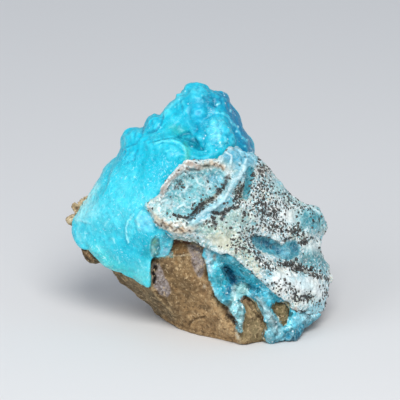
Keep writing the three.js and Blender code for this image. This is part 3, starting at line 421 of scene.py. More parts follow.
# Features of the display side: how far they stand out, their colour, how strongly it is laid, and where they are.
BLUE_FEATURES = [
    # broad shades
    (0, BLUE["light"], 0.7, Spot(120, 205, 50, 30, -50)),
    (0, BLUE["light"], 0.5, Spot(148, 138, 18, 14, -30)),
    # painted shade: the peak darker
    (0, "#0098ba", 0.75, Spot(200, 98, 26, 18)),
    (0, "#009ec0", 0.6, Spot(206, 122, 22, 16)),
    # painted shade in the cleft of the peak's head
    (0, "#007698", 0.7, Spot(210, 100, 7, 9, -20)),
    # the right flank: a deeper blue, partly its own colour and partly painted shade
    (0, "#0076a8", 0.97, Spot(236, 116, 9, 40, -20)),
    (0, "#0074a0", 0.92, Spot(250, 146, 9, 22, -22)),
    (0, BLUE["milky"], 0.5, Spot(96, 218, 26, 26), Spot(135, 205, 30, 28)),
    (0, BLUE["milky"], 0.35, Spot(118, 176, 18, 16)),
    (0, BLUE["milky"], 0.4, Spot(120, 258, 32, 16, 35)),
    # painted rim light: pale lines and a glow along the left silhouettes
    (0.2, "#e8fcf6", 0.9, Line(6, 75, 216, 81, 206, 88, 196, 94, 186)),
    (0, "#96eaf0", 0.6, Spot(86, 213, 12, 10)),
    (0, "#78e2ee", 0.5, Line(2.2, 96, 180, 110, 160, 124, 141, 140, 128)),
    (0.2, "#78deec", 0.75, Line(2.6, 163, 115, 167, 109, 173, 103, 178, 96, 185, 91)),
    (0, BLUE["milky"], 0.5, Spot(80, 240, 9, 14, -30)),
    (0, "#a0ecf2", 0.5, Spot(92, 208, 9, 12, 30)),
    (0, "#b0f0f2", 0.5, Line(1.6, 78, 225, 76, 233, 80, 243)),
    (0, "#6ce2d6", 0.6, Line(8, 94, 252, 108, 264, 124, 272, 142, 283)),
    (0, "#009eb0", 0.6, Spot(146, 254, 4, 12, 15)),
    (0, "#00b2cc", 0.5, Spot(123, 252, 9, 14, 25)),
    (0, "#86d4d2", 0.65, Spot(143, 276, 9, 10, 20)),
    (0, "#78d0d8", 0.6, Spot(139, 264, 9, 9)),
    (0, BLUE["mid"], 0.25, Spot(137, 262, 14, 12)),
    # lumps of the peak and its shoulders
    (0.8, "#50c8de", 0.8, Spot(197, 91, 10, 7)),
    (0.8, "#1ea8c8", 0.6, Spot(213, 94, 5, 5)),
    (0.9, "#00709c", 0.7, Spot(221, 98, 6, 7)),
    # painted shade in the crease of the peak's head
    (-0.4, "#007092", 0.8, Line(2, 204, 97, 209, 101, 215, 106, 213, 98, 208, 95)),
    (0.9, "#46c8dc", 0.6, Spot(179, 99, 6, 6)),
    (0.5, "#14b2d2", 0.5, Spot(183, 110, 6, 6)),
    (1.0, "#08acd2", 0.9, Spot(198.5, 113.5, 7.5, 10.5)),
    # painted shade in the creases around the central lump
    (-0.15, "#008eac", 0.5, Line(2.0, 190, 104, 190, 114, 192, 124, 198, 127, 204, 123)),
    (-0.15, "#0092ae", 0.6, Line(2.2, 206, 107, 207, 116, 204, 126, 203, 136, 204, 148)),
    (0.7, "#5ad6e6", 0.5, Spot(167, 112, 5, 5)),
    (0.5, "#0ab4d0", 0.5, Spot(172, 122, 7, 6)),
    (1.0, "#0abcde", 0.8, Spot(154, 122, 8, 7)),
    # the darker lines among the lumps below are painted shade in their creases
    (-0.5, "#008eb0", 0.6, Line(1.2, 163, 116, 161, 124, 156, 130, 148, 132)),
    (0.9, "#0ec4e4", 0.7, Spot(131, 134, 10, 9)),
    (-0.4, "#0092b4", 0.5, Line(1.2, 143, 126, 142, 135, 136, 143, 127, 147)),
    (0.8, "#0ec0e0", 0.6, Spot(128, 154, 11, 8, -10)),
    (-0.3, "#0096b8", 0.4, Line(1.2, 137, 150, 134, 160, 124, 164)),
    (0.6, "#14c2e0", 0.5, Spot(148, 142, 8, 6)),
    (0.5, BLUE["light"], 0.2, Spot(107, 170, 7, 9, 20)),
    (0.4, BLUE["light"], 0.2, Spot(96, 192, 7, 9, 20)),
    # the field of small lumps on the right
    (0.4, "#54c8e2", 0.6, Spot(216, 130, 13, 16)),
    (0.4, BLUE["milky"], 0.5, Spot(213, 121, 4, 3.5)),
    (0.4, BLUE["milky"], 0.4, Spot(221, 121, 4, 4)),
    (0.3, "#96e2f2", 0.6, Spot(217, 127, 5, 5)),
    (0.5, BLUE["milky"], 0.4, Spot(209, 129, 3.5, 4)),
    (0.3, "#8cdeee", 0.6, Spot(214, 136, 5, 5)),
    (0.6, "#28b4d6", 0.6, Spot(226, 130, 4, 5)),
    (0.6, "#14a6cc", 0.6, Spot(231, 139, 4, 6, -20)),
    (0.6, "#beeef6", 0.8, Line(1.6, 219, 133, 218.5, 139, 221, 146)),
    (0.3, "#beeef6", 0.6, Line(1.2, 225, 137, 226.5, 142)),
    (0.4, "#96e2f2", 0.7, Line(1.2, 217, 112, 223, 113, 228, 116, 231, 121)),
    (0.4, "#96e2f0", 0.6, Line(1.2, 230, 120, 237, 127, 240, 134, 247, 141)),
    # white grains along the ridge, partly painted glints
    (0.2, "#d8f6fa", 0.9, Line(0.8, 217, 104, 220, 102.5), Spot(231, 110, 1, 1.6), Spot(238, 126, 1.2, 1.2),
     Spot(236.5, 131, 1.2, 1), Spot(248, 139, 1, 1.4)),
    (0.2, "#d8f6fa", 0.8, Spot(252, 148, 1.2, 1), Spot(245, 146, 1, 1)),
    # the hollow under the peak, with painted shade in it, and the round scale below its ledge
    (-0.2, "#46b0a4", 0.65, Spot(178, 130, 11, 6, 15)),
    (-0.6, "#008ca0", 0.75, Patch(1.6, 168, 138, 176, 136, 186, 131, 190, 131, 196, 138, 199, 142, 203.5, 149.5,
     198, 150, 190, 146, 182, 141, 174, 139.5)),
    (-0.3, "#007488", 0.85, Patch(1.0, 185, 137, 192, 139, 198, 144, 203, 150, 197, 149, 190, 145)),
    (0.8, "#3cbed8", 0.8, Spot(199, 137.5, 3, 3.4)),
    # painted highlight on the small lump
    (0.1, "#d8f6fa", 0.8, Spot(199.5, 137, 1, 1)),
    # painted glints below the central lump
    (0.1, "#aae8f2", 0.4, Line(0.8, 187.5, 121, 191, 127.5, 196, 128.5)),
    (0.5, "#18b4ce", 0.85, Spot(172, 151, 11.5, 10)),
    # painted shade in the crease above the ledge
    (-0.35, "#008ca0", 0.75, Line(0.9, 153, 142, 162, 139, 172, 138.3, 181, 140.5, 188, 146)),
    (0.5, "#96ecf0", 0.75, Line(0.9, 155, 144, 162, 141, 171, 140.3, 179, 142.5, 184, 147.5, 186, 153)),
    (0.2, "#82e8f2", 0.6, Line(0.8, 166, 151, 171, 149.5, 175, 152)),
    (0.2, "#68bea0", 0.75, Line(2.6, 185, 145, 188, 151, 186, 159)),
    (0.3, "#14b0c8", 0.7, Spot(196, 155, 6, 4)),
    # white edges of scales
    (0.2, "#6ee2ee", 0.6, Patch(1.5, 126, 221, 132, 216, 134, 226, 132, 238, 128, 243, 125.5, 232)),
    (0.5, "#d6f8fa", 0.95, Line(0.9, 133, 215, 127.5, 221, 125.8, 228, 126, 235, 128, 243)),
    (0.5, "#82d8f0", 0.85, Patch(2.5, 139, 213, 147, 212, 154, 220, 154, 230, 145, 233, 139, 228, 137, 219)),
    (0.4, "#d6f8fa", 0.85, Line(1.3, 141, 212, 137.5, 217, 136.8, 223, 139, 229)),
    (0.2, "#baecf4", 0.6, Line(0.8, 145, 218, 148, 222, 153, 227)),
    (0.3, "#cef6f8", 0.8, Line(1.0, 74, 219, 81, 220.5, 89, 223)),
    (0.1, "#cef6f8", 0.8, Line(1.0, 96, 246, 99, 248), Line(1.0, 112, 238, 114, 243)),
    (0.1, "#cef6f8", 0.7, Line(1.0, 117, 258, 118.5, 263)),
    (0.1, "#cef6f8", 0.6, Line(1.0, 85, 232, 83, 239)),
    (0.1, "#cef6f8", 0.5, Line(1.0, 104, 226, 107, 222)),
    (0.1, "#cef6f8", 0.6, Line(0.8, 140, 265, 143, 268)),
    (-0.3, "#0a9cac", 0.6, Spot(144, 256, 5, 3)),
    (0, "#8ce8ee", 0.7, Line(1.8, 148, 262, 150, 275, 149, 287)),
    # the thin lower edge, where the rock shows through; its grey-green is partly painted shade
    (-0.5, "#608478", 0.97, Patch(1.0, 149.5, 249, 151, 240, 155, 236, 159.5, 240, 160, 250, 158, 257, 152, 257)),
    (0, "#748e60", 0.8, Spot(153.5, 241, 2.4, 3)),
    (-0.4, "#32686c", 0.9, Spot(158.5, 250, 1.8, 4.5)),
    (0.2, "#a4ccc6", 0.85, Line(1.6, 152, 247, 153, 252, 152, 257)),
    (0.3, "#3cb2be", 0.8, Line(0.9, 149.5, 249, 150.5, 241, 154, 236)),
    (-0.3, "#403428", 0.9, Spot(154.5, 257, 2, 1.4)),
    (0.2, "#c4e2c4", 0.8, Line(1.1, 88, 251, 100, 264, 120, 273, 140, 284, 149, 289)),
    (0.2, "#4e98a8", 0.88, Patch(1.2, 161, 234, 172, 236, 172, 256, 161, 257, 160, 246)),
    (0.1, "#cedcee", 0.9, Spot(161, 236, 1.6, 1.4)),
    (0.2, "#6eccd6", 0.7, Line(1.3, 163, 247, 167, 244, 170, 246)),
    (0.1, "#96bccc", 0.95, Patch(1.2, 161, 249, 172, 248, 172, 257, 160, 258)),
    (0.2, "#d6d6c8", 0.8, Line(1.2, 173, 236, 171, 244, 173, 250, 171, 256)),
    (0, "#e8ead6", 0.95, Line(0.9, 158, 257.6, 171, 256.4)),
]
PALE_FEATURES = [
    # broad shades, from left to right
    (0, PALE["cream"], 0.45, Spot(172, 221, 24, 8, 8)),
    (0, "#bec0a6", 0.8, Patch(3, 204, 238, 212, 226, 224, 222, 236, 232, 252, 250, 262, 268, 258, 277, 240, 259,
     220, 249)),
    (0, "#9cc4ba", 0.75, Spot(205, 230, 11, 6)),
    (0, "#8eb2aa", 0.9, Spot(232, 219, 22, 13, 10)),
    (0, "#9ec8ba", 0.7, Spot(206, 229, 9, 5, 10)),
    (0.3, "#40a8c8", 0.98, Spot(240, 158, 18, 13, 10)),
    (-0.3, "#248cb0", 0.7, Spot(229, 158, 5, 6)),
    # painted highlights on the crest's white lumps
    (0.5, "#e2f6fa", 0.9, Band(1.0, 227, 153, 232, 156, 231, 163, soft=0.8)),
    (0.5, "#e6f8fa", 0.8, Band(0.8, 239, 150, 243, 155.5, 250, 155.5, 256, 160, soft=0.7)),
    (0.3, "#78cee4", 0.8, Spot(246, 153, 5, 3)),
    (0.5, "#e2f4f8", 0.9, Band(1.3, 240, 163, 244, 167, 242, 173, 238, 179, soft=0.8)),
    (0, "#cccec4", 0.6, Spot(228, 167, 8, 5, -30)),
    (0, "#96ced4", 0.8, Spot(282, 191, 20, 7, 36)),
    (0, "#f6f8f4", 0.9, Spot(287, 215, 15, 11, 20)),
    (0.5, "#2c8a9a", 0.98, Spot(313, 219, 16, 14, 20)),
    (0.4, "#deeef0", 0.85, Line(1.6, 300, 208, 308, 207, 316, 209, 321, 214)),
    (0.2, "#e2eeec", 0.85, Spot(314, 247, 11, 10)),
    (0, "#3a808a", 0.95, Spot(313, 260, 19, 9, 12)),
    (0, "#6eb2be", 0.8, Spot(323, 268, 8, 6)),
    (0.9, "#f2fafa", 0.97, Spot(282, 281, 15, 10, 10)),
    (0.8, "#eef9fa", 0.97, Spot(308, 287, 14, 9, 0)),
    (0, "#cceaee", 0.6, Spot(309, 287, 7, 4, 0)),
    (0.2, "#f2f4f0", 0.9, Spot(292, 294, 14, 7, 0)),
    (0.3, "#ecf6f8", 0.9, Spot(322, 294, 8, 12)),
    (0.5, "#96def0", 0.97, Spot(314, 311, 15, 8, -22)),
    (0.2, "#d6d6c8", 0.8, Spot(302, 300, 5, 4)),
    (0.2, "#e8eee8", 0.8, Spot(303, 307, 8, 4, -10)),
    (0.2, "#beac9c", 0.8, Spot(262, 171, 10, 5, 25)),
    (0.4, "#6ebed6", 0.7, Spot(255, 159, 9, 5, 30)),
    # the rosette's rim
    (0.8, "#947a6a", 0.97, Band(2.8, 188, 163.5, 198, 167)),
    (-0.5, "#46362e", 0.95, Line(1.2, 187, 168.5, 193, 170.5, 199, 170.5)),
    (0.4, "#e2e2d6", 0.9, Line(0.8, 184, 162, 188, 160.5, 194, 162, 199, 164)),
    (-0.4, "#aa9e86", 0.8, Spot(205.6, 165.5, 5.4, 3.2)),
    (-1.0, "#423626", 0.98, Spot(205.6, 166, 4.2, 2.0)),
    (0.9, "#b8a082", 0.95, Band(2.4, 212, 163, 218, 164.5, 223, 167)),
    (-0.3, "#624632", 0.9, Line(0.8, 213, 166, 216, 163, 218, 167.5, 221, 164, 223, 170)),
    (0.3, "#e8e8dc", 0.8, Line(0.8, 204, 162, 211, 161, 218, 162, 225, 166)),
    (0.5, "#dceae8", 0.9, Line(0.9, 160, 191, 165.5, 182, 172.5, 173, 180, 165.5)),
    (0.3, "#8e8076", 0.97, Band(2.3, 162, 192, 168, 183, 175, 175, 182, 167.5, soft=0.8)),
    (-0.3, "#685c56", 0.8, Line(0.8, 165, 193, 172, 184, 179, 176, 185, 171)),
    (0.3, "#cedad6", 0.7, Line(1.4, 169, 194, 176, 184, 184, 175, 192, 172.5, 203, 172)),
    (0.3, "#d0d2b6", 0.8, Line(1.4, 146, 206, 150, 201.5, 156, 201)),
    (0.2, "#b08e6c", 0.7, Line(1.2, 147, 208, 151, 209.5, 155, 208)),
    (0.5, "#ceba96", 0.9, Line(2.6, 155, 213, 157, 220, 163, 225.5, 171, 229.5, 181, 231.5, 190, 229, 196, 225)),
    (0.2, "#f0ead8", 0.85, Patch(1.5, 155, 212, 162, 217, 176, 222, 190, 220, 199, 224, 196, 231, 182, 235, 168, 231,
     157, 223)),
    (0.5, "#d4c4a4", 0.9, Spot(159.5, 218, 3, 3.4)),
    (0.6, "#ceaa7c", 0.92, Spot(166, 224, 4.0, 2.8, 20)),
    (0.6, "#f0e4c8", 0.92, Spot(173.5, 228, 4.0, 2.8)),
    (0.6, "#c49e74", 0.92, Spot(181.5, 230.5, 4.0, 2.8)),
    (0.6, "#ceaa8e", 0.92, Spot(189.5, 228.5, 4.4, 3.0, -20)),
    (0.3, "#bea48a", 0.8, Spot(196, 224.5, 3.5, 2.6)),
    (0.4, "#e2e8e2", 0.85, Line(1.8, 158, 214, 164, 219, 172, 223, 181, 224.5, 189, 222)),
    (-0.4, "#5c422c", 0.95, Line(0.9, 155, 222, 160, 226.5, 163, 222, 166, 228.5, 170, 225.5, 174, 231, 178, 228,
     184, 233.5)),
    (-0.3, "#54483e", 0.9, Line(0.9, 186, 225.5, 190, 224, 193, 221)),
    (-0.3, "#6e5036", 0.9, Line(0.8, 158, 215, 163, 219, 162, 223)),
    (-0.3, "#765a3e", 0.8, Line(0.8, 168, 226, 173, 222, 180, 224, 184, 222)),
    (-0.3, "#684c34", 0.8, Line(0.8, 177, 228, 181, 225.5, 185, 229)),
    (-0.3, "#46423e", 0.9, Line(0.8, 196, 226, 201, 224, 203, 227)),
    # the dish
    (0, "#a0ced0", 0.8, Patch(2, 150, 204, 160, 198, 168, 200, 172, 212, 178, 221, 168, 222, 158, 216, 152, 211)),
    (-0.3, "#62b0ba", 0.95, Patch(3, *DISH)),
    (0, "#80cade", 0.8, Spot(218, 181, 7, 8)),
    (0, "#62b4c4", 0.6, Spot(186, 190, 9, 5, -40)),
    (0.3, "#e2ecec", 0.8, Line(1.0, 184, 200, 190, 203, 196, 201)),
    (0.3, "#dce8e8", 0.8, Line(1.0, 176, 195, 182, 198, 184, 204)),
    (0, "#46a0ac", 0.8, Spot(190, 206, 6, 5)),
    (0, "#c4d4d6", 0.6, Spot(172, 203, 7, 6)),
    (0.5, "#bab2ac", 0.9, Spot(206, 178, 3.6, 2.8, 10)),
    (0.4, "#dce8e8", 0.8, Line(1.4, 208, 183, 209, 188, 206, 193)),
    (0.3, "#cee2e6", 0.6, Line(1.4, 190, 183, 196, 188, 200, 194)),
    (0.35, "#e8f2f2", 0.85, Line(1.2, 184, 179, 188, 186, 184, 192), Line(1.2, 196, 176, 199, 184, 206, 187,
     211, 184)),
    (0.35, "#e4f0f0", 0.8, Line(1.1, 177, 209, 183, 205, 190, 209, 194, 203), Line(1.3, 166, 204, 171, 209,
     173, 216), Line(1.2, 160, 203, 167, 200)),
    (-0.3, "#429c9c", 0.8, Spot(178, 199, 5, 3.4)),
    (-0.3, "#469ea6", 0.7, Spot(195, 189, 5, 3.4, 30)),
    (-0.3, "#54a4a0", 0.7, Spot(169, 212, 4, 3)),
    (-0.2, "#5cb2ce", 0.8, Spot(211, 178, 5, 5)),
    (-0.5, "#54585a", 0.85, Line(1.5, 176, 188, 179, 184, 181, 182)),
    (-0.2, "#424244", 0.7, Line(1.1, 174, 188.5, 177.5, 187.5)),
    (-0.2, "#465a60", 0.7, Line(0.9, 187, 173.5, 189, 174.5)),
    (-0.2, "#606e70", 0.8, Spot(191.5, 177, 1.4, 1)),
    (-0.2, "#788c90", 0.6, Line(1.0, 170, 197, 172, 201, 171, 205)),
    (0, "#5a5046", 0.8, Spot(160.5, 197.5, 1.3, 1)),
    (0, "#646460", 0.6, Spot(171, 196.5, 1.2, 1)),
    # the black band, and the grooves and ridges beside it
    (-0.5, "#222022", 0.97, Band(1.0, *BLACK_BAND[:3], soft=0.7)),
    (-0.6, "#1e1c1e", 0.98, Band(3.0, *BLACK_BAND[2:6], soft=0.8)),
    (-0.4, "#8c765e", 0.85, Band(2.2, *BLACK_BAND[5:9], soft=1.2)),
    (-0.3, "#201e20", 0.97, Spot(218.5, 190.5, 3.2, 2.8), Spot(225.5, 183.5, 2.6, 3.2, 20), Spot(227.5, 177.5, 2.8,
     2.4)),
    (0, "#60b6cc", 0.9, Line(5.5, *ROPE)),
    (0.9, "#cee8ee", 0.75, Line(1.8, *ROPE)),
    # painted shade along the rope's lower right side
    (-0.2, "#78bed2", 0.7, Line(2.4, 198, 222, 206, 216, 215, 212, 222, 208, 229, 201, 234, 191)),
    (0.7, "#deeef0", 0.85, Line(1.7, 246, 160, 243, 168, 239, 177)),
    (0.3, "#cedede", 0.6, Line(1.6, 236, 176, 230, 186, 226, 196)),
    (-0.4, "#1c1a1c", 0.98, Band(1.7, *SECOND_GROOVE, soft=0.7), Band(2.2, 225, 212, 222.5, 219, soft=0.8)),
    (-0.2, "#544c48", 0.8, Spot(214, 224, 2.2, 4, -15)),
    (-0.9, "#786242", 0.9, Spot(241, 192.5, 7, 7.5, 20)),
    (0.4, "#aa966e", 0.7, Spot(239, 190, 3, 2)),
    (-0.8, "#148296", 0.98, Band(3.6, *TEAL_GROOVE, soft=1.4)),
    (-0.2, "#46a0b4", 0.85, Spot(232, 201, 6, 3.5, -30)),
    (0, "#78c4d4", 0.7, Spot(235, 184, 4, 6, 30)),
    # the pits, in one blue hollow, and lighter crystals in it
    (-0.9, "#228094", 0.98, Patch(1.0, *PITS)),
    (-0.5, "#004e68", 0.95, Band(2.6, 254, 239.5, 264, 243, 274, 248, 280, 253, soft=1.2)),
    (-0.2, "#044062", 0.8, Spot(267, 242.5, 3, 1.6, 10)),
    (0.2, "#5cacbe", 0.7, Spot(256, 240, 3, 2)),
    (0.3, "#60b4c6", 0.7, Line(1.3, 264, 249, 272, 251.5)),
    (0, "#247696", 0.7, Line(1.6, 276, 248, 283, 252)),
    (0.4, "#78bed2", 0.95, Spot(286, 253, 5, 6)),
    (-0.5, "#08607c", 0.95, Spot(295.5, 247.5, 4.2, 5.5, -10)),
    (0.2, "#c4e0e4", 0.7, Spot(272, 257, 9, 3, 8)),
    (-0.3, "#4696ae", 0.7, Spot(268, 274, 5, 5)),
    # brown bands; the first two are oxide along a groove, partly painted shade under the ledge above it
    (-0.2, "#96887e", 0.45, Band(2.6, 281, 266, 291, 267, 300, 269, 311, 273, soft=2.5)),
    (-0.2, "#8c746c", 0.5, Line(1.6, 312, 274, 322, 278, 331, 281)),
    (-0.2, "#c4a08a", 0.9, Patch(1.5, 291, 309, 297, 308, 298, 322, 292, 322)),
    (0.3, "#dee6e6", 0.8, Line(0.9, 291.5, 309, 291, 322)),
]
ROCK_FEATURES = [
    (0, "#b08a62", 0.6, Line(12, 205, 255, 210, 290, 222, 315, 236, 336)),
    (0, "#cca676", 0.7, Spot(206, 320, 32, 18, 25)),
    (-0.3, "#624e38", 0.7, Spot(165, 268, 8, 9)),
    # painted shade on the lower-left facet
    (0, "#705e46", 0.5, Spot(168, 310, 9, 14, -25)),
    (0, "#a47c50", 0.85, Patch(1.2, 172, 256, 173, 243, 177, 241, 190, 243, 191, 254, 182, 256)),
    (-0.4, "#683426", 0.95, Band(2.0, 174, 243, 180, 241, 189, 243)),
    (0.5, "#e2d8be", 0.95, Line(0.9, 159, 257.5, 172, 256.2, 184, 255.3, 191, 254.2)),
    (-0.2, ROCK["mauve"], 0.95, Patch(1.2, *MAUVE_RIGHT), Patch(1.2, *MAUVE_LEFT)),
    (-0.3, "#121010", 0.98, Band(1.5, *[(u + 0.8, v) for u, v in CRACK_LEFT], soft=0.6)),
    (-0.2, "#100e0e", 0.98, Spot(154.5, 268.5, 2.8, 3.2), Spot(154, 282, 2.2, 2)),
    (-0.2, "#463626", 0.9, Spot(156, 261, 5, 4)),
    (0, "#604230", 0.9, Spot(226.5, 309, 2.4, 5.5, -15)),
    (0.2, "#d6d8d2", 0.8, Spot(230, 312, 2, 5, -10)),
    (-0.2, "#201c1c", 0.98, Band(2.4, 228, 316, 233, 319.5, 236, 325, soft=0.8)),
    (0.3, "#ced4ca", 0.9, Band(1.4, 237, 326, 238, 336, 240, 345, soft=0.8)),
    (0, "#c0a47c", 0.6, Spot(224, 329, 6, 8, 20)),
    (-0.6, ROCK["black"], 0.85, Line(0.9, 203, 250, 204.5, 256, 204.5, 262)),
    (-0.3, ROCK["black"], 0.9, Spot(157.5, 294, 0.9, 1.2)),
    (0.2, "#d8ceb8", 0.85, Spot(205, 287, 1.8, 2.4)),
    (-0.6, ROCK["dark"], 0.85, Line(0.9, 189, 326, 193, 321, 200, 318.5, 205, 318)),
    (-0.6, ROCK["dark"], 0.7, Spot(206, 309, 4.5, 3, 20)),
    (-0.4, ROCK["dark"], 0.5, Spot(214, 322, 8, 5)),
    (-0.4, ROCK["dark"], 0.8, Line(0.8, 202, 329, 203, 336)),
    (0.5, "#b09c76", 0.6, Line(1.4, 151, 289, 158, 299, 167, 308, 176, 320)),
    # painted light: the lower front edge and a patch above it lighter
    (0.2, "#ba986e", 0.6, Line(2.0, 163, 318, 172, 327, 190, 333, 212, 338, 238, 344)),
    (0.2, ROCK["light"], 0.5, Spot(178, 322, 6, 3, 40)),
    (0, ROCK["light"], 0.5, Line(2, 196, 262, 200, 275, 204, 285)),
    # the floor of the vug, seen through its windows
    (0, "#8a7c5a", 0.85, Patch(2, *WINDOW_LEFT)),
    (-0.6, "#544430", 0.8, Line(1.6, 248, 301, 253, 310, 259, 317, 263, 321)),
    (0, "#88624a", 0.8, Spot(245, 300, 7, 4, 20)),
    (-0.2, "#60382c", 0.85, Spot(264.5, 319.5, 2.4, 2.6)),
    (0, "#968866", 0.6, Spot(255, 331, 10, 8)),
    (0, "#7a7250", 0.9, Patch(1.5, *WINDOW_RIGHT)),
    (0, "#46422a", 0.8, Spot(275, 307, 6, 4, 0)),
    (0, "#a0926e", 0.6, Line(1.2, 289, 302, 289, 312, 287, 322)),
    # knobs left of the blue crust
    (0, "#d6c4a2", 0.95, Spot(78, 203, 14, 15, 30)),
    (0.5, "#fff6d8", 0.97, Line(4.5, 66, 222, 70, 219, 76, 215)),
    (-0.6, "#604a36", 0.9, Line(1.4, 72, 206, 75, 209, 77, 208)),
    (-0.4, "#967e5c", 0.7, Line(1.0, 69, 214, 75, 214.5)),
    (0.3, "#d8c8a6", 0.6, Line(1.2, 76, 201, 84, 196, 92, 190)),
    (0, "#423626", 0.97, Patch(1.5, 76, 247, 91, 247, 97, 255, 105, 264, 88, 268, 80, 260)),
    (0.3, "#8c603e", 0.7, Line(1.2, 82, 251, 88, 257, 92, 262)),
    (0, "#74725c", 0.7, Line(1.6, 86, 263, 98, 264)),
    (-0.3, "#463428", 0.8, Spot(87, 250, 6, 1.6)),
]
VUG_FEATURES = [
    # painted light: the walls of the vug's hollow lighter
    (0.3, "#50cee0", 0.95, Spot(254, 275, 30, 9, 42)),
    (0.2, "#50bed0", 0.9, Spot(230, 260, 15, 7, 30)),
    (0.2, "#5ac8d8", 0.8, Spot(214, 263, 5, 9, -10)),
    # the slit: dark blue, partly its deep colour and partly painted shade in its depth
    (-0.6, "#004268", 0.98, Patch(0.9, 220.5, 267.5, 228, 266, 234, 275, 239.5, 284, 233, 287, 227, 278)),
    (-0.3, "#10648e", 0.85, Spot(229, 290, 4, 6, 20)),
    (-0.4, "#2484a2", 0.6, Patch(2, 247, 285, 255, 287, 263, 293, 262, 298, 255, 296, 250, 291)),
    (0, "#40c4de", 0.85, Spot(259, 287, 9, 6, 40)),
    (0.2, "#7ce0f4", 0.92, Spot(268, 295, 10, 8, 40)),
    (0, "#38a6b6", 0.97, Spot(217, 282, 12, 20, 15)),
    (0.3, "#88cedc", 0.7, Line(2.4, 211, 286, 217, 296, 224, 302)),
    (0.3, "#c0c8d0", 0.92, Line(3.2, 208, 250, 208.5, 262, 210, 271)),
    (0, "#a68070", 0.95, Spot(214.5, 257, 2.2, 3.4)),
    (0, "#7e9c92", 0.85, Spot(210, 245, 9, 4, 20)),
    (0.2, "#8ab8b8", 0.95, Patch(1.5, 231, 287, 238, 283, 248, 284, 250, 295, 243, 297, 238, 301, 244, 305, 245, 313,
     244, 322, 242, 336, 238, 332, 235, 322, 230, 313, 227, 306, 231, 297)),
    (0.4, "#88b8b2", 0.9, Spot(243, 289, 5.5, 5)),
    (0.4, "#d6eaea", 0.8, Line(1.6, 235, 286, 233.5, 293, 236, 300)),
    (0.3, "#c4dee0", 0.7, Line(1.2, 242, 305, 242.5, 314, 241, 324, 239.5, 333)),
    (0.1, "#88c8d6", 0.7, Spot(236, 309, 3.5, 4.5)),
    (0, "#785642", 0.97, Spot(227, 310, 2.6, 5.5, -10)),
    (-0.3, "#242020", 0.98, Band(2.0, 229, 317, 233, 319, 236, 324, soft=0.8)),
    (0.2, "#84a8ae", 0.95, Patch(1.5, 255, 296, 262, 297, 267, 305, 273, 312, 278, 318, 282, 326, 285, 335, 284, 342,
     266, 343, 266, 333, 268, 323, 263, 316, 258, 307)),
    (0.3, "#d8e6e8", 0.7, Line(1.2, 258, 298, 264, 307, 270, 316, 274, 326, 279, 336)),
    (-0.2, "#6c7676", 0.8, Line(1.5, 272, 317, 276, 324, 278, 331)),
    (0.2, "#6ebacc", 0.85, Spot(272, 336, 8, 6)),
    (0.2, "#c4e2e4", 0.8, Spot(284, 338, 5, 4)),
    # the toe's lower part darker: partly its own colour, partly painted shade
    (0, "#107a96", 0.92, Spot(302, 331, 28, 11, -30)),
    # painted shade along the toe's underside
    (0, "#00425e", 0.85, Line(2.6, 290, 343, 302, 339, 313, 332, 322, 322)),
    (0.3, "#6ebece", 0.85, Spot(291, 329, 5, 7, -10)),
    (0.2, "#3c9cba", 0.7, Spot(290, 337, 5, 4)),
    (0.3, "#baecf8", 0.97, Spot(310, 316, 16, 8, -22)),
]

# Where the druse is clean, and where it is glassy: (u, v, radius in u, radius in v), and a share for the glassy ones
CLEAN = [
    (283, 282, 14, 10), (308, 287, 14, 9), (291, 217, 9, 8), (222, 242, 12, 8), (314, 250, 8, 6), (322, 298, 6, 10),
]
GLASSY = [
    (313, 219, 15, 13, 0.9), (236, 157, 14, 11, 0.7), (196, 194, 26, 20, 0.6), (249, 182, 7, 16, 0.8),
    (284, 191, 20, 9, 0.5), (314, 262, 18, 8, 0.7), (222, 205, 14, 12, 0.6), (310, 314, 14, 6, 0.9),
]


def rgb(colour):
    return [int(colour[i:i + 2], 16) for i in (1, 3, 5)]


def lay(tint, share, colour):
    """Lays a colour over the tint by a share from 0 to 1 at each point."""
    tint += np.clip(share, 0, 1)[:, None] * (np.array(rgb(colour), float) - tint)


class Seen:
    """Some of a surface's points, to colour by themselves."""

    def __init__(self, points, uv, facing, tint):
        self.points, self.uv, self.facing, self.tint = points, uv, facing, tint

    def some(self, chosen):
        return Seen(self.points[chosen], self.uv[chosen], self.facing[chosen], self.tint[chosen])

    def frayed(self, size, salts, ragged):
        """Places on the sheet, pushed about by `ragged` on it, so that edges fray."""
        return self.uv + np.stack([rough(self.points, size, salt, 2) for salt in salts], 1) * ragged

    def stain(self, share, rows):
        """Lays colours in patches. rows: (colour, strength, low, high, size, salt, octaves), where the noise goes from
        low, none, to high, all of it. A size below 0 turns the noise over."""
        for colour, strength, low, high, size, salt, octaves in rows:
            noise = rough(self.points, abs(size), salt, octaves) * (1 if size > 0 else -1)
            lay(self.tint, share * strength * smooth(low, high, noise), colour)

    def features(self, share, features, ragged=1.2):
        """Colours the display side's features."""
        seen = (self.facing > 0) & (share > 0)
        if not seen.any():
            return
        s = self.some(seen)
        uv = s.frayed(1.7, (21, 25), ragged)
        broken = (0.86 + 0.25 * rolls(s.points, 0.9, 29)) * share[seen] * s.facing
        for _, colour, strength, *marks in features:
            for mark in marks:
                lay(s.tint, mark(uv) * strength * broken, colour)
        self.tint[seen] = s.tint


def paint_blue(s, share):
    lay(s.tint, share, BLUE["mid"])
    s.stain(share, [
        (BLUE["light"], 0.8, -0.5, 0.9, 14, 11, 3), (BLUE["milky"], 0.4, 0.05, 0.7, 5, 13, 3),
        ("#0098b4", 0.4, 0.1, 0.8, 6, 19, 3),
    ])
    s.features(share, BLUE_FEATURES)
    s.stain(share, [(BLUE["milky"], 0.15, 0.1, 0.6, 1.2, 15, 2), (BLUE["deep"], 0.15, 0.1, 0.6, -1.4, 17, 2)])


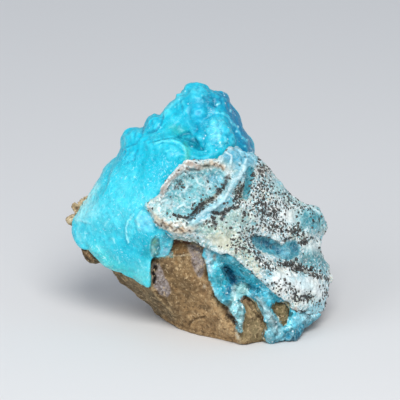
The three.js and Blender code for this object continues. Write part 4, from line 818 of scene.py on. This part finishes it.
def paint_pale(s, share):
    lay(s.tint, share, PALE["white"])
    s.stain(share, [
        (PALE["ice"], 0.8, 0.05, 0.6, 6, 31, 4), (PALE["cream"], 0.6, 0.15, 0.7, -6, 31, 4),
        (PALE["grey"], 0.6, 0.15, 0.7, 7, 47, 3),
    ])
    # the small colours inside it: specks of ice blue, tan, grey and white, fewer where it is clean
    clean = np.ones(len(s.points))
    for where in CLEAN:
        clean -= 0.75 * s.facing * spot(s.uv, *where)
    s.stain(np.clip(clean, 0.1, 1) * share, [
        ("#70bacc", 0.5, 0.2, 0.5, 1.3, 33, 2), ("#cebea0", 0.45, 0.2, 0.5, 1.6, 35, 2),
        ("#788888", 0.45, 0.2, 0.5, 1.0, 37, 2), ("#f0f6f6", 0.5, 0.2, 0.5, 0.9, 41, 2),
    ])
    s.features(share, PALE_FEATURES)


def paint_rock(s, share):
    lay(s.tint, share, ROCK["mid"])
    # the underside strip darker olive: partly its own colour, partly painted shade
    lay(s.tint, share * 0.7 * smooth(-1, 1, s.facing * within(s.uv, SHADED_UNDERSIDE)), "#706856")
    s.stain(share, [
        (ROCK["light"], 0.6, 0.0, 0.9, 12, 51, 4), (ROCK["dark"], 0.6, 0.0, 0.9, -12, 51, 4),
        (ROCK["orange"], 0.4, 0.3, 0.8, 5, 63, 3),
    ])
    s.features(share, ROCK_FEATURES, 1.0)
    s.stain(share, [(ROCK["dark"], 0.4, 0.1, 0.6, 1.6, 65, 3), ("#c8ae86", 0.45, 0.1, 0.6, 1.3, 67, 3)])
    for outline in (MAUVE_LEFT, MAUVE_RIGHT):
        velvet = share * s.facing * area(s.uv, outline, 1.0)
        lay(s.tint, velvet * 0.8, "#988c87")
        s.stain(velvet, [("#605650", 0.6, 0.15, 0.5, 1.0, 71, 2), ("#cec6c4", 0.6, 0.1, 0.5, 0.9, 73, 2)])
    crack = Band(1.5, *[(u + 1, v) for u, v in CRACK_LEFT], soft=0.6)(s.uv)
    lay(s.tint, share * s.facing * np.maximum(crack, spot(s.uv, 155, 268.5, 2.6, 3)), "#141110")
    # behind: rusty patches, dark stains and a paler face
    s.stain(share * (1 - s.facing), [
        ("#a87a4c", 0.8, 0.15, 0.6, 16, 81, 3), ("#4e4034", 0.8, 0.2, 0.6, 13, 83, 3),
        ("#968e7a", 0.6, 0.25, 0.6, 10, 85, 3),
    ])


def paint_vug(s, share):
    lay(s.tint, share, VUG["mid"])
    s.stain(share, [(VUG["light"], 0.6, 0, 0.8, 4, 61, 3), (VUG["deep"], 0.6, 0, 0.8, -4, 61, 3)])
    number = lumps(s.points, 2.0, 401)[2]
    lay(s.tint, share * 0.3 * (number > 0.6), "#78ccde")
    lay(s.tint, share * 0.2 * (number < 0.25), VUG["deep"])
    s.features(share, VUG_FEATURES, 0.8)


# What grows inside each outline: how it is painted, and its CAD node. A later one lies over an earlier one.
BORDERS = [
    (BROWN_AREA, paint_rock, "matrix"), (VUG_AREA, paint_vug, "vug_lining"), (WINDOW_LEFT, paint_rock, "matrix"),
    (WINDOW_RIGHT, paint_rock, "matrix"), (PALE_AREA, paint_pale, "pale_druse"), (BLUE_AREA, paint_blue, "blue_crust"),
]
REACH = 2.0  # how near a growth's node has to be for its colours to cross the border, in millimetres

TREES = {}
for node in ("matrix", "vug_lining", "pale_druse", "blue_crust"):
    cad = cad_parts[node].data
    TREES[node] = BVHTree.FromPolygons([v.co[:] for v in cad.vertices], [f.vertices[:] for f in cad.polygons])


def near(points, node):
    places = (points / MM_PER_M).tolist()
    return np.array([TREES[node].find_nearest(q, REACH / MM_PER_M)[0] is not None for q in places], bool)


def painted(surface, base):
    """Each point's colour: its own growth's, and near the borders on the display side what grows there."""
    s = Seen(surface.points, surface.uv, surface.facing, np.zeros((len(surface.points), 3)))
    base(s, np.ones(len(s.points)))
    uv = s.frayed(1.3, (81, 83), 1.2)
    for outline, paint, grown in BORDERS:
        if paint is not base or outline in (WINDOW_LEFT, WINDOW_RIGHT):
            share = area(uv, outline, 0.8) * s.facing
            here = np.flatnonzero(share > 0)
            here = here[near(s.points[here], grown)]
            if len(here):
                part = s.some(here)
                paint(part, share[here])
                s.tint[here] = part.tint
    shaded_edge = Line(2.8, 176, 237.5, 188, 239, 200, 243, 212, 248)(uv) * s.facing
    lay(s.tint, shaded_edge * 0.85, "#708e8a")
    return s.tint


def paint_crease_shade_and_crown_highlight(surface, tint, reach, depth, low, high, most):
    """Paints shade into the colour in creases, towards low, and paints highlights on crowns, towards high. depth: the
    relief, in millimetres, that is full.
    """
    crown = surface.crown(reach) / depth
    lay(tint, most * smooth(0.1, 1.2, -crown), low)
    lay(tint, most * smooth(0.1, 1.2, crown), high)


# ---- Materials ----


def linear(colour):
    light = [v / 255 for v in rgb(colour)]
    return [c / 12.92 if c <= 0.04045 else ((c + 0.055) / 1.055) ** 2.4 for c in light] + [1.0]


def material(name, rough, bumps, layers, facet=None, **finish):
    """A stone whose colour is its points' tint, with finer colours laid over it. bumps: (size, height) of the noise on
    its surface, in metres. layers: (kind, size, low, high, strength, colour, attribute), where the pattern's value goes
    from low, none, to high, all of it, and the attribute says per point how much of it there is. finish: sockets of the
    shader. Kinds are mottle, noise that darkens and lightens, with nothing after high; specks; crumbs, which join up
    where the attribute is high; strokes, curved, with size (width, length); ticks, white spots, with size (spacing,
    radius); and crystals, cells whose tone goes from low to high with edges of the colour. facet: (size, tilt,
    attribute) of flat faces that catch the light."""
    made = bpy.data.materials.new(name)
    made.use_nodes = True
    nodes, links = made.node_tree.nodes, made.node_tree.links
    shader = nodes["Principled BSDF"]

    def feed(n, inputs):
        """Links a node's inputs to other nodes' sockets, or sets them to values."""
        for key, value in inputs.items():
            if isinstance(value, bpy.types.NodeSocket):
                links.new(value, n.inputs[key])
            else:
                n.inputs[key].default_value = value
        return n

    def add(kind, inputs={}, how=None):
        n = nodes.new("ShaderNode" + kind)
        if how:
            n.operation = how
        return feed(n, inputs)

    where = add("TexCoord").outputs["Object"]

    def noise(size, detail=3.0, distortion=0.0, at=where):
        return add("TexNoise", {"Vector": at, "Scale": 1 / size, "Detail": detail, "Distortion": distortion})

    def span(value, low, high, to_low, to_high):
        ends = {"From Min": low, "From Max": high, "To Min": to_low, "To Max": to_high}
        return add("MapRange", {"Value": value, **ends}).outputs["Result"]

    def join(how, *values):
        return add("Math", dict(enumerate(values)), how).outputs[0]

    def vector(how, *values):
        return add("VectorMath", dict(enumerate(values)), how).outputs[0]

    def pushed(size, by):
        """Places, pushed about by noise."""
        return vector("MULTIPLY_ADD", noise(size, 1.0).outputs["Color"], (by,) * 3, where)

    def mixed(share, a, b, blend="MIX"):
        n = add("Mix")
        n.data_type, n.blend_type = "RGBA", blend
        return feed(n, {0: share, 6: a, 7: b}).outputs[2]

    def attribute(name):
        n = add("Attribute")
        n.attribute_name = name
        return n.outputs["Fac"]

    def cells(size, feature="F1"):
        n = add("TexVoronoi", {"Vector": pushed(size * 1.3, 0.5 * size), "Scale": 1 / size})
        n.feature = feature
        return n

    tint = add("VertexColor")
    tint.layer_name = "tint"
    colour = tint.outputs["Color"]
    turns = cycle([(0.3, 0.5, 0.0), (-0.9, 0.2, 0.7), (1.2, -0.6, 0.3)])
    for kind, size, low, high, *laid in layers:
        if kind == "mottle":
            shade = span(noise(size, 3.0, 0.6).outputs["Fac"], 0.3, 0.7, low, high)
            colour = mixed(1.0, colour, shade, "MULTIPLY")
            continue
        strength, over, name_of_share = laid
        if kind == "crystals":
            tone = add("SeparateColor", {0: cells(size).outputs["Color"]}).outputs
            shade = mixed(1.0, colour, span(tone[0], 0.0, 1.0, low, high), "MULTIPLY")
            colour = mixed(attribute(name_of_share), colour, shade)
            edge = span(cells(size, "DISTANCE_TO_EDGE").outputs["Distance"], 0.03, 0.12, strength, 0.0)
            share = join("MULTIPLY", edge, span(tone[1], 0.2, 0.8, 0.1, 1.0))
        elif kind == "specks":
            share = span(noise(size, 2.0, 0.4).outputs["Fac"], low, high, 0.0, strength)
        elif kind == "crumbs":
            grown = join("MULTIPLY_ADD", attribute(name_of_share), 0.5, noise(size, 2.5, 0.3).outputs["Fac"])
            share = span(grown, low, high, 0.0, strength)
        elif kind == "strokes":
            width, length = size
            scale = (1 / width, 1 / width, 1 / length)
            at = add("Mapping", {"Vector": pushed(length / 0.6, 3.2 * length), "Rotation": next(turns), "Scale": scale})
            share = span(noise(1.0, 1.0, 0.0, at.outputs[0]).outputs["Fac"], low, high, 0.0, strength)
        elif kind == "ticks":
            spacing, radius = size
            dots = add("TexVoronoi", {"Vector": where, "Scale": 1 / spacing}).outputs["Distance"]
            dot = span(dots, radius / spacing * 0.6, radius / spacing, strength, 0.0)
            share = join("MULTIPLY", dot, span(noise(spacing * 3, 1.0).outputs["Fac"], low, high, 0.0, 1.0))
        if name_of_share and kind != "crumbs":
            share = join("MULTIPLY", share, attribute(name_of_share))
        colour = mixed(share, colour, linear(over))
    links.new(colour, shader.inputs["Base Color"])
    links.new(span(noise(bumps[0][0] * 2).outputs["Fac"], 0.35, 0.65, *rough), shader.inputs["Roughness"])
    normal = None
    for size, height in bumps:
        bump = add("Bump", {"Distance": height, "Height": noise(size, 4.0, 0.4).outputs["Fac"]})
        if normal:
            links.new(normal, bump.inputs["Normal"])
        normal = bump.outputs["Normal"]
    if facet:
        size, tilt, name_of_share = facet
        turn = vector("SUBTRACT", cells(size).outputs["Color"], (0.5, 0.5, 0.5))
        lean = vector("MULTIPLY", turn, join("MULTIPLY", attribute(name_of_share), tilt))
        normal = vector("NORMALIZE", vector("ADD", normal, lean))
    links.new(normal, shader.inputs["Normal"])
    for socket, value in finish.items():
        shader.inputs[socket.replace("_", " ")].default_value = value
    return made


SKIN = {"Subsurface_Radius": (0.35, 0.9, 1.0), "Subsurface_Scale": 0.0012}
BLUE_STONE = material(
    "blue_hemimorphite", (0.25, 0.45), [(0.0016, 0.0001), (0.0006, 0.00005)],
    [
        ("mottle", 0.0022, 0.94, 1.06),
        ("strokes", (0.0004, 0.0024), 0.53, 0.68, 0.34, "#78ecf8", "fibre"),
        # white wisps, partly painted glints on the scales
        ("strokes", (0.0004, 0.0022), 0.62, 0.7, 0.6, "#d6fafc", "fibre"),
        ("strokes", (0.0006, 0.003), 0.56, 0.68, 0.35, "#00a0c4", "fibre"),
        # white specks, partly painted glints
        ("ticks", (0.0022, 0.0004), 0.44, 0.56, 0.75, "#ecfcff", "sparkle"),
    ],
    Subsurface_Weight=0.3, IOR=1.5, Specular_IOR_Level=0.25, Coat_Weight=0.08, Coat_Roughness=0.3, **SKIN,
)
PALE_STONE = material(
    "pale_hemimorphite", (0.4, 0.7), [(0.0009, 0.0003), (0.00035, 0.00014)],
    [
        ("mottle", 0.001, 0.88, 1.1),
        ("crystals", 0.0015, 0.66, 1.4, 0.34, "#e2f4f6", "crystal"),
        ("specks", 0.0011, 0.55, 0.6, 0.6, "#5aacba", "fibre"),
        ("specks", 0.0009, 0.56, 0.6, 0.8, "#f4fafa", "fibre"),
        ("specks", 0.0007, 0.6, 0.64, 0.7, "#687a7c", "fibre"),
        ("specks", 0.0008, 0.62, 0.66, 0.5, "#c4b294", "fibre"),
        ("crumbs", 0.0012, 0.79, 0.81, 0.95, "#363632", "oxide"),
        ("crumbs", 0.0008, 0.84, 0.86, 0.9, "#242422", "oxide"),
    ],
    (0.0015, 1.2, "crystal"), IOR=1.5, Specular_IOR_Level=0.4,
)
ROCK_STONE = material(
    "limonite", (0.85, 0.98), [(0.0012, 0.0005), (0.0004, 0.00025)],
    [
        ("mottle", 0.0013, 0.8, 1.08),
        ("mottle", 0.0005, 0.76, 1.14),
        ("specks", 0.0012, 0.58, 0.66, 0.6, "#4c3a2a", None),
        ("specks", 0.001, 0.61, 0.67, 0.6, "#d6ba90", None),
    ],
    IOR=1.45, Specular_IOR_Level=0.2,
)
VUG_STONE = material(
    "vug_hemimorphite", (0.15, 0.35), [(0.001, 0.00012), (0.0004, 0.00006)],
    [
        ("crystals", 0.0024, 0.66, 1.36, 0.34, "#beeaf0", "crystal"),
        ("crystals", 0.0011, 0.8, 1.24, 0.16, "#beeef4", "crystal"),
        ("ticks", (0.0014, 0.0004), 0.48, 0.58, 0.75, "#f0fcff", "crystal"),
    ],
    (0.0022, 1.4, "crystal"), Subsurface_Weight=0.05, IOR=1.5, Specular_IOR_Level=0.45, **SKIN,
)
OXIDE = material("iron_oxide", (0.35, 0.6), [(0.0003, 0.00006)], [("mottle", 0.0005, 0.7, 1.3)], IOR=1.7)

# ---- Blue crust ----

crust = Surface("blue_crust", voxel=0.35, softening=26)
uv, facing = crust.uv, crust.facing
high = smooth(175, 130, uv[:, 1])
plain = 0.35 + 0.3 * high + 0.5 * (1 - facing)
crust.rise(-0.1 + plain * domes(crust.points, 6.5, 101, 0.09))
crust.carve(BLUE_FEATURES)
p = crust.points
wrinkles = ridges(p, 2.6, 121, 9) * smooth(0.0, 0.35, rolls(p, 4, 127))
lumpy = 0.05 + 0.08 * high + 0.3 * spot(uv, 217, 130, 16, 22)
crust.rise(lumpy * domes(p, 2.4, 103, 0.06) + 0.07 * rough(p, 3, 113, 3) + 0.03 * wrinkles)
tint = painted(crust, paint_blue)
# painted shade in the creases and painted highlights on the crowns, at two sizes of relief
paint_crease_shade_and_crown_highlight(crust, tint, 30, 0.4, BLUE["teal"], BLUE["light"], 0.35)
paint_crease_shade_and_crown_highlight(crust, tint, 5, 0.08, BLUE["deep"], BLUE["milky"], 0.25)
# painted highlights along the fine ridges
lay(tint, 0.12 * wrinkles, "#c4f4fa")
crust.colour(tint)
flank = spot(uv, 238, 120, 12, 44, -20) * facing
fibre = 0.9 - 0.55 * facing * smooth(185, 150, uv[:, 1]) + 0.3 * spot(uv, 217, 130, 16, 22)
for where in ((198, 114, 7, 9), (197, 142, 8, 8), (126, 148, 16, 10), (190, 92, 12, 8)):
    fibre -= 0.3 * spot(uv, *where)
fibre *= 0.5 + 0.6 * smooth(-0.35, 0.55, rough(p, 7, 131, 2))
crust.value("fibre", np.clip(fibre - 0.8 * flank, 0.05, 1))
peak = facing * spot(uv, 205, 112, 26, 34)
# white specks, thickest on the flank, the peak and the field of lumps: partly painted glints
crust.value("sparkle", np.clip(0.3 + flank + 0.4 * peak + 0.5 * spot(uv, 217, 128, 14, 20), 0, 1))
crust.done(BLUE_STONE)

# ---- Pale druse ----

druse = Surface("pale_druse", voxel=0.32, softening=20)
facing = druse.facing
druse.rise(0.1 + 0.4 * domes(druse.points, 3.6, 201))
druse.carve(PALE_FEATURES)
p = druse.points
druse.rise(0.2 * domes(p, 1.7, 203) + 0.25 * facets(p, 1.3, 207) + 0.22 * rough(p, 2.4, 205, 4) - 0.2)
uv = druse.uv
tint = painted(druse, paint_pale)
# painted shade in the creases and painted highlights on the crowns
paint_crease_shade_and_crown_highlight(druse, tint, 8, 0.18, "#68868e", "#ecf2f0", 0.22)
druse.colour(tint)
density = oxide_density(uv)
behind = 0.1 + 0.5 * smooth(-0.2, 0.8, rough(druse.points, 9, 501, 2))
druse.value("oxide", 0.72 * (density * facing + (1 - facing) * behind) ** 0.55)
glassy = 0.3 + 0.2 * rolls(p, 5, 211)
for *where, share in GLASSY:
    glassy = np.maximum(glassy, facing * share * spot(uv, *where))
glassy = np.maximum(glassy, 0.6 * area(uv, PITS) * facing)
clean = sum(spot(uv, *where) for where in CLEAN) * facing
glassy -= 0.35 * clean
druse.value("crystal", np.clip(glassy, 0, 1))
speckled = 0.9 - 0.75 * np.clip(glassy - 0.3, 0, 1) - 0.8 * clean
for path, half in ((RIM_TOP, 2.6), (RIM_LOW, 3.4), (ROPE, 3), (TEAL_GROOVE, 3.5), (BLACK_BAND, 3)):
    speckled -= 0.6 * facing * Band(half, *path, soft=1.5)(uv)
for bare, share in (
    (area(uv, PITS), 0.7), (spot(uv, 240, 158, 20, 15), 0.8), (area(uv, DISH, 3), 0.35),
    (spot(uv, 313, 219, 15, 13), 0.4), (spot(uv, 226, 222, 24, 14), 0.4),
):
    speckled -= share * facing * bare
druse.value("fibre", np.clip(speckled, 0.06, 1))
druse.done(PALE_STONE)

# ---- Matrix ----

rock = Surface("matrix", voxel=0.47, softening=7)
p = rock.points
resting = smooth(0.3, 1.2, p[:, 2])
away = (1 - rock.facing) * (1 - spot(rock.uv, 78, 210, 22, 22))
broken = 0.35 * facets(p, 3.0, 303) + away * 1.4 * (facets(p, 10, 305) - 0.5)
rock.rise(resting * (0.2 + (0.45 + 0.25 * away) * rough(p, 6, 301, 5) + broken))
rock.carve(ROCK_FEATURES)
rock.keep_above(0)
tint = painted(rock, paint_rock)
# painted shade in the creases and painted highlights on the crowns
paint_crease_shade_and_crown_highlight(rock, tint, 6, 0.15, "#463626", "#ceb286", 0.35)
rock.colour(tint)
rock.done(ROCK_STONE)

# ---- Lining of the vug ----

lining = Surface("vug_lining", voxel=0.22, softening=7)
p = lining.points
crystals = 0.8 * facets(p, 2.2, 401) + 0.35 * facets(p, 1.1, 407)
lining.rise(0.1 + crystals + 0.35 * domes(p, 5, 405) + 0.08 * rough(p, 1.6, 403, 3))
lining.carve(VUG_FEATURES)
lining.keep_above(0.1)
tint = painted(lining, paint_vug)
# painted shade in the creases and painted highlights on the crowns
paint_crease_shade_and_crown_highlight(lining, tint, 6, 0.15, VUG["dark"], "#c8ecf0", 0.15)
lining.colour(tint)
smoother = lining.facing * spot(lining.uv, 220, 280, 12, 18, 15)
lining.value("crystal", np.clip(1 - 0.9 * smooth(100, 60, tint.mean(1)) - 0.45 * smoother, 0, 1))
lining.done(VUG_STONE)

# ---- Dark oxide grains on the druse ----

GRAIN_SPACING = 0.85
GRAIN_SIZES = (0.25, 0.62)
GRAIN_FLATNESS = 0.4
GRAIN_LIFT = 0.05
GRAIN_COLOURS = (np.array([0.018, 0.018, 0.017]), np.array([0.09, 0.078, 0.066]))


def grains(on, density, salt):
    """Places for grains on a surface, as point numbers and random numbers, no two closer than GRAIN_SPACING."""
    rng = np.random.default_rng(salt)
    order = rng.permutation(np.flatnonzero(density > rng.random(len(density))))
    taken, kept = {}, []
    for i in order:
        q = on.points[i] / GRAIN_SPACING
        cell = np.floor(q).astype(int)
        around = [taken.get(tuple(cell + step), []) for step in product((-1, 0, 1), repeat=3)]
        if all(((q - o) ** 2).sum() > 1 for group in around for o in group):
            taken.setdefault(tuple(cell), []).append(q)
            kept.append(i)
    return np.array(kept), rng


def ball():
    """An icosahedron's points and faces."""
    g = (1 + 5**0.5) / 2
    v = [(-1, g, 0), (1, g, 0), (-1, -g, 0), (1, -g, 0), (0, -1, g), (0, 1, g), (0, -1, -g), (0, 1, -g), (g, 0, -1),
         (g, 0, 1), (-g, 0, -1), (-g, 0, 1)]
    f = [(0, 11, 5), (0, 5, 1), (0, 1, 7), (0, 7, 10), (0, 10, 11), (1, 5, 9), (5, 11, 4), (11, 10, 2), (10, 7, 6),
         (7, 1, 8), (3, 9, 4), (3, 4, 2), (3, 2, 6), (3, 6, 8), (3, 8, 9), (4, 9, 5), (2, 4, 11), (6, 2, 10), (8, 6, 7),
         (9, 8, 1)]
    return np.array(v) / math.hypot(1, g), np.array(f)


elsewhere = 0.02 + 0.25 * smooth(0.2, 0.8, rough(druse.points, 8, 501, 2))
kept, rng = grains(druse, 0.5 * (facing * density + (1 - facing) * elsewhere), 503)
count = len(kept)
sizes = GRAIN_SIZES[0] + (GRAIN_SIZES[1] - GRAIN_SIZES[0]) * rng.random(count) ** 1.6
base, faces = ball()
turns = np.array([np.linalg.qr(t)[0] for t in rng.normal(size=(count, 3, 3))])
jolt = (1 + 0.25 * rng.normal(size=(count, len(base), 1))) * (0.7 + 0.6 * rng.random((count, 1, 3)))
bodies = np.einsum("nij,kj->nki", turns, base) * jolt * sizes[:, None, None]
n = druse.normals[kept]
bodies -= (1 - GRAIN_FLATNESS) * np.einsum("nki,ni->nk", bodies, n)[:, :, None] * n[:, None, :]
bodies += (druse.points[kept] + n * GRAIN_LIFT)[:, None, :]
every = (faces[None] + len(base) * np.arange(count)[:, None, None]).reshape(-1, 3)
mesh = bpy.data.meshes.new("oxide_grains")
mesh.from_pydata((bodies.reshape(-1, 3) / MM_PER_M).tolist(), [], every.tolist())
write(mesh.polygons, "use_smooth", np.ones(len(mesh.polygons), bool))
oxide = bpy.data.objects.new("oxide_grains", mesh)
bpy.context.scene.collection.objects.link(oxide)
shade = np.repeat(rng.random(count), len(base))[:, None]
colours = (1 - shade) * GRAIN_COLOURS[0] + shade * GRAIN_COLOURS[1]
write(mesh.color_attributes.new("tint", "FLOAT_COLOR", "POINT").data, "color", opaque(colours))
mesh.materials.append(OXIDE)
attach(oxide, "root")

# ---- Floor, light and camera ----

FLOOR_REACH = 3
PAPER = (0.72, 0.72, 0.72, 1)
PAPER_ROUGHNESS = 0.9
SKY = (0.8, 0.88, 1.0, 1)
SKY_STRENGTH = 0.45
DISTANCE = 3.0
PICTURE = 400 / PER_MM / MM_PER_M  # how much the picture takes in at the specimen: its sheet is 400 wide
MIDDLE = 0.049  # how high up the sheet the middle of the picture is

scene = bpy.context.scene
edges = (-FLOOR_REACH, FLOOR_REACH)
floor_mesh = bpy.data.meshes.new("floor")
floor_mesh.from_pydata([(x, y, 0) for y in edges for x in edges], [], [(0, 1, 3, 2)])
floor = bpy.data.objects.new("floor", floor_mesh)
scene.collection.objects.link(floor)
paper = bpy.data.materials.new("paper")
paper.use_nodes = True
paper.node_tree.nodes["Principled BSDF"].inputs["Base Color"].default_value = PAPER
paper.node_tree.nodes["Principled BSDF"].inputs["Roughness"].default_value = PAPER_ROUGHNESS
floor_mesh.materials.append(paper)


def softbox(name, at, aim, side, watts, colour):
    lamp = bpy.data.lights.new(name, "AREA")
    lamp.shape, lamp.size, lamp.energy, lamp.color = "SQUARE", side, watts, colour
    made = bpy.data.objects.new(name, lamp)
    made.location = at
    made.rotation_mode = "QUATERNION"
    made.rotation_quaternion = Vector(np.subtract(aim, at)).to_track_quat("-Z", "Y")
    scene.collection.objects.link(made)


softbox("key", at=(0.1, -0.75, 0.9), aim=(0, 0, 0.03), side=0.6, watts=11, colour=(1.0, 0.985, 0.96))
softbox("fill", at=(-0.8, -0.7, 0.6), aim=(0, 0, 0.04), side=0.8, watts=3.5, colour=(0.97, 0.98, 1.0))

world = bpy.data.worlds.new("room")
scene.world = world
world.use_nodes = True
world.node_tree.nodes["Background"].inputs["Color"].default_value = SKY
world.node_tree.nodes["Background"].inputs["Strength"].default_value = SKY_STRENGTH
scene.view_settings.view_transform = "Standard"

camera = bpy.data.cameras.new("camera")
camera.lens = camera.sensor_width * DISTANCE / PICTURE
camera.clip_end = 2 * DISTANCE + 2 * FLOOR_REACH
looks = bpy.data.objects.new("camera", camera)
middle = np.array([*ORIGIN, 0]) / MM_PER_M + np.array([0, 0, MIDDLE / math.cos(LEAN)])
looks.location = middle + TOWARDS * DISTANCE
looks.rotation_euler = (math.pi / 2 - LEAN, 0, 0)
scene.collection.objects.link(looks)
scene.camera = looks
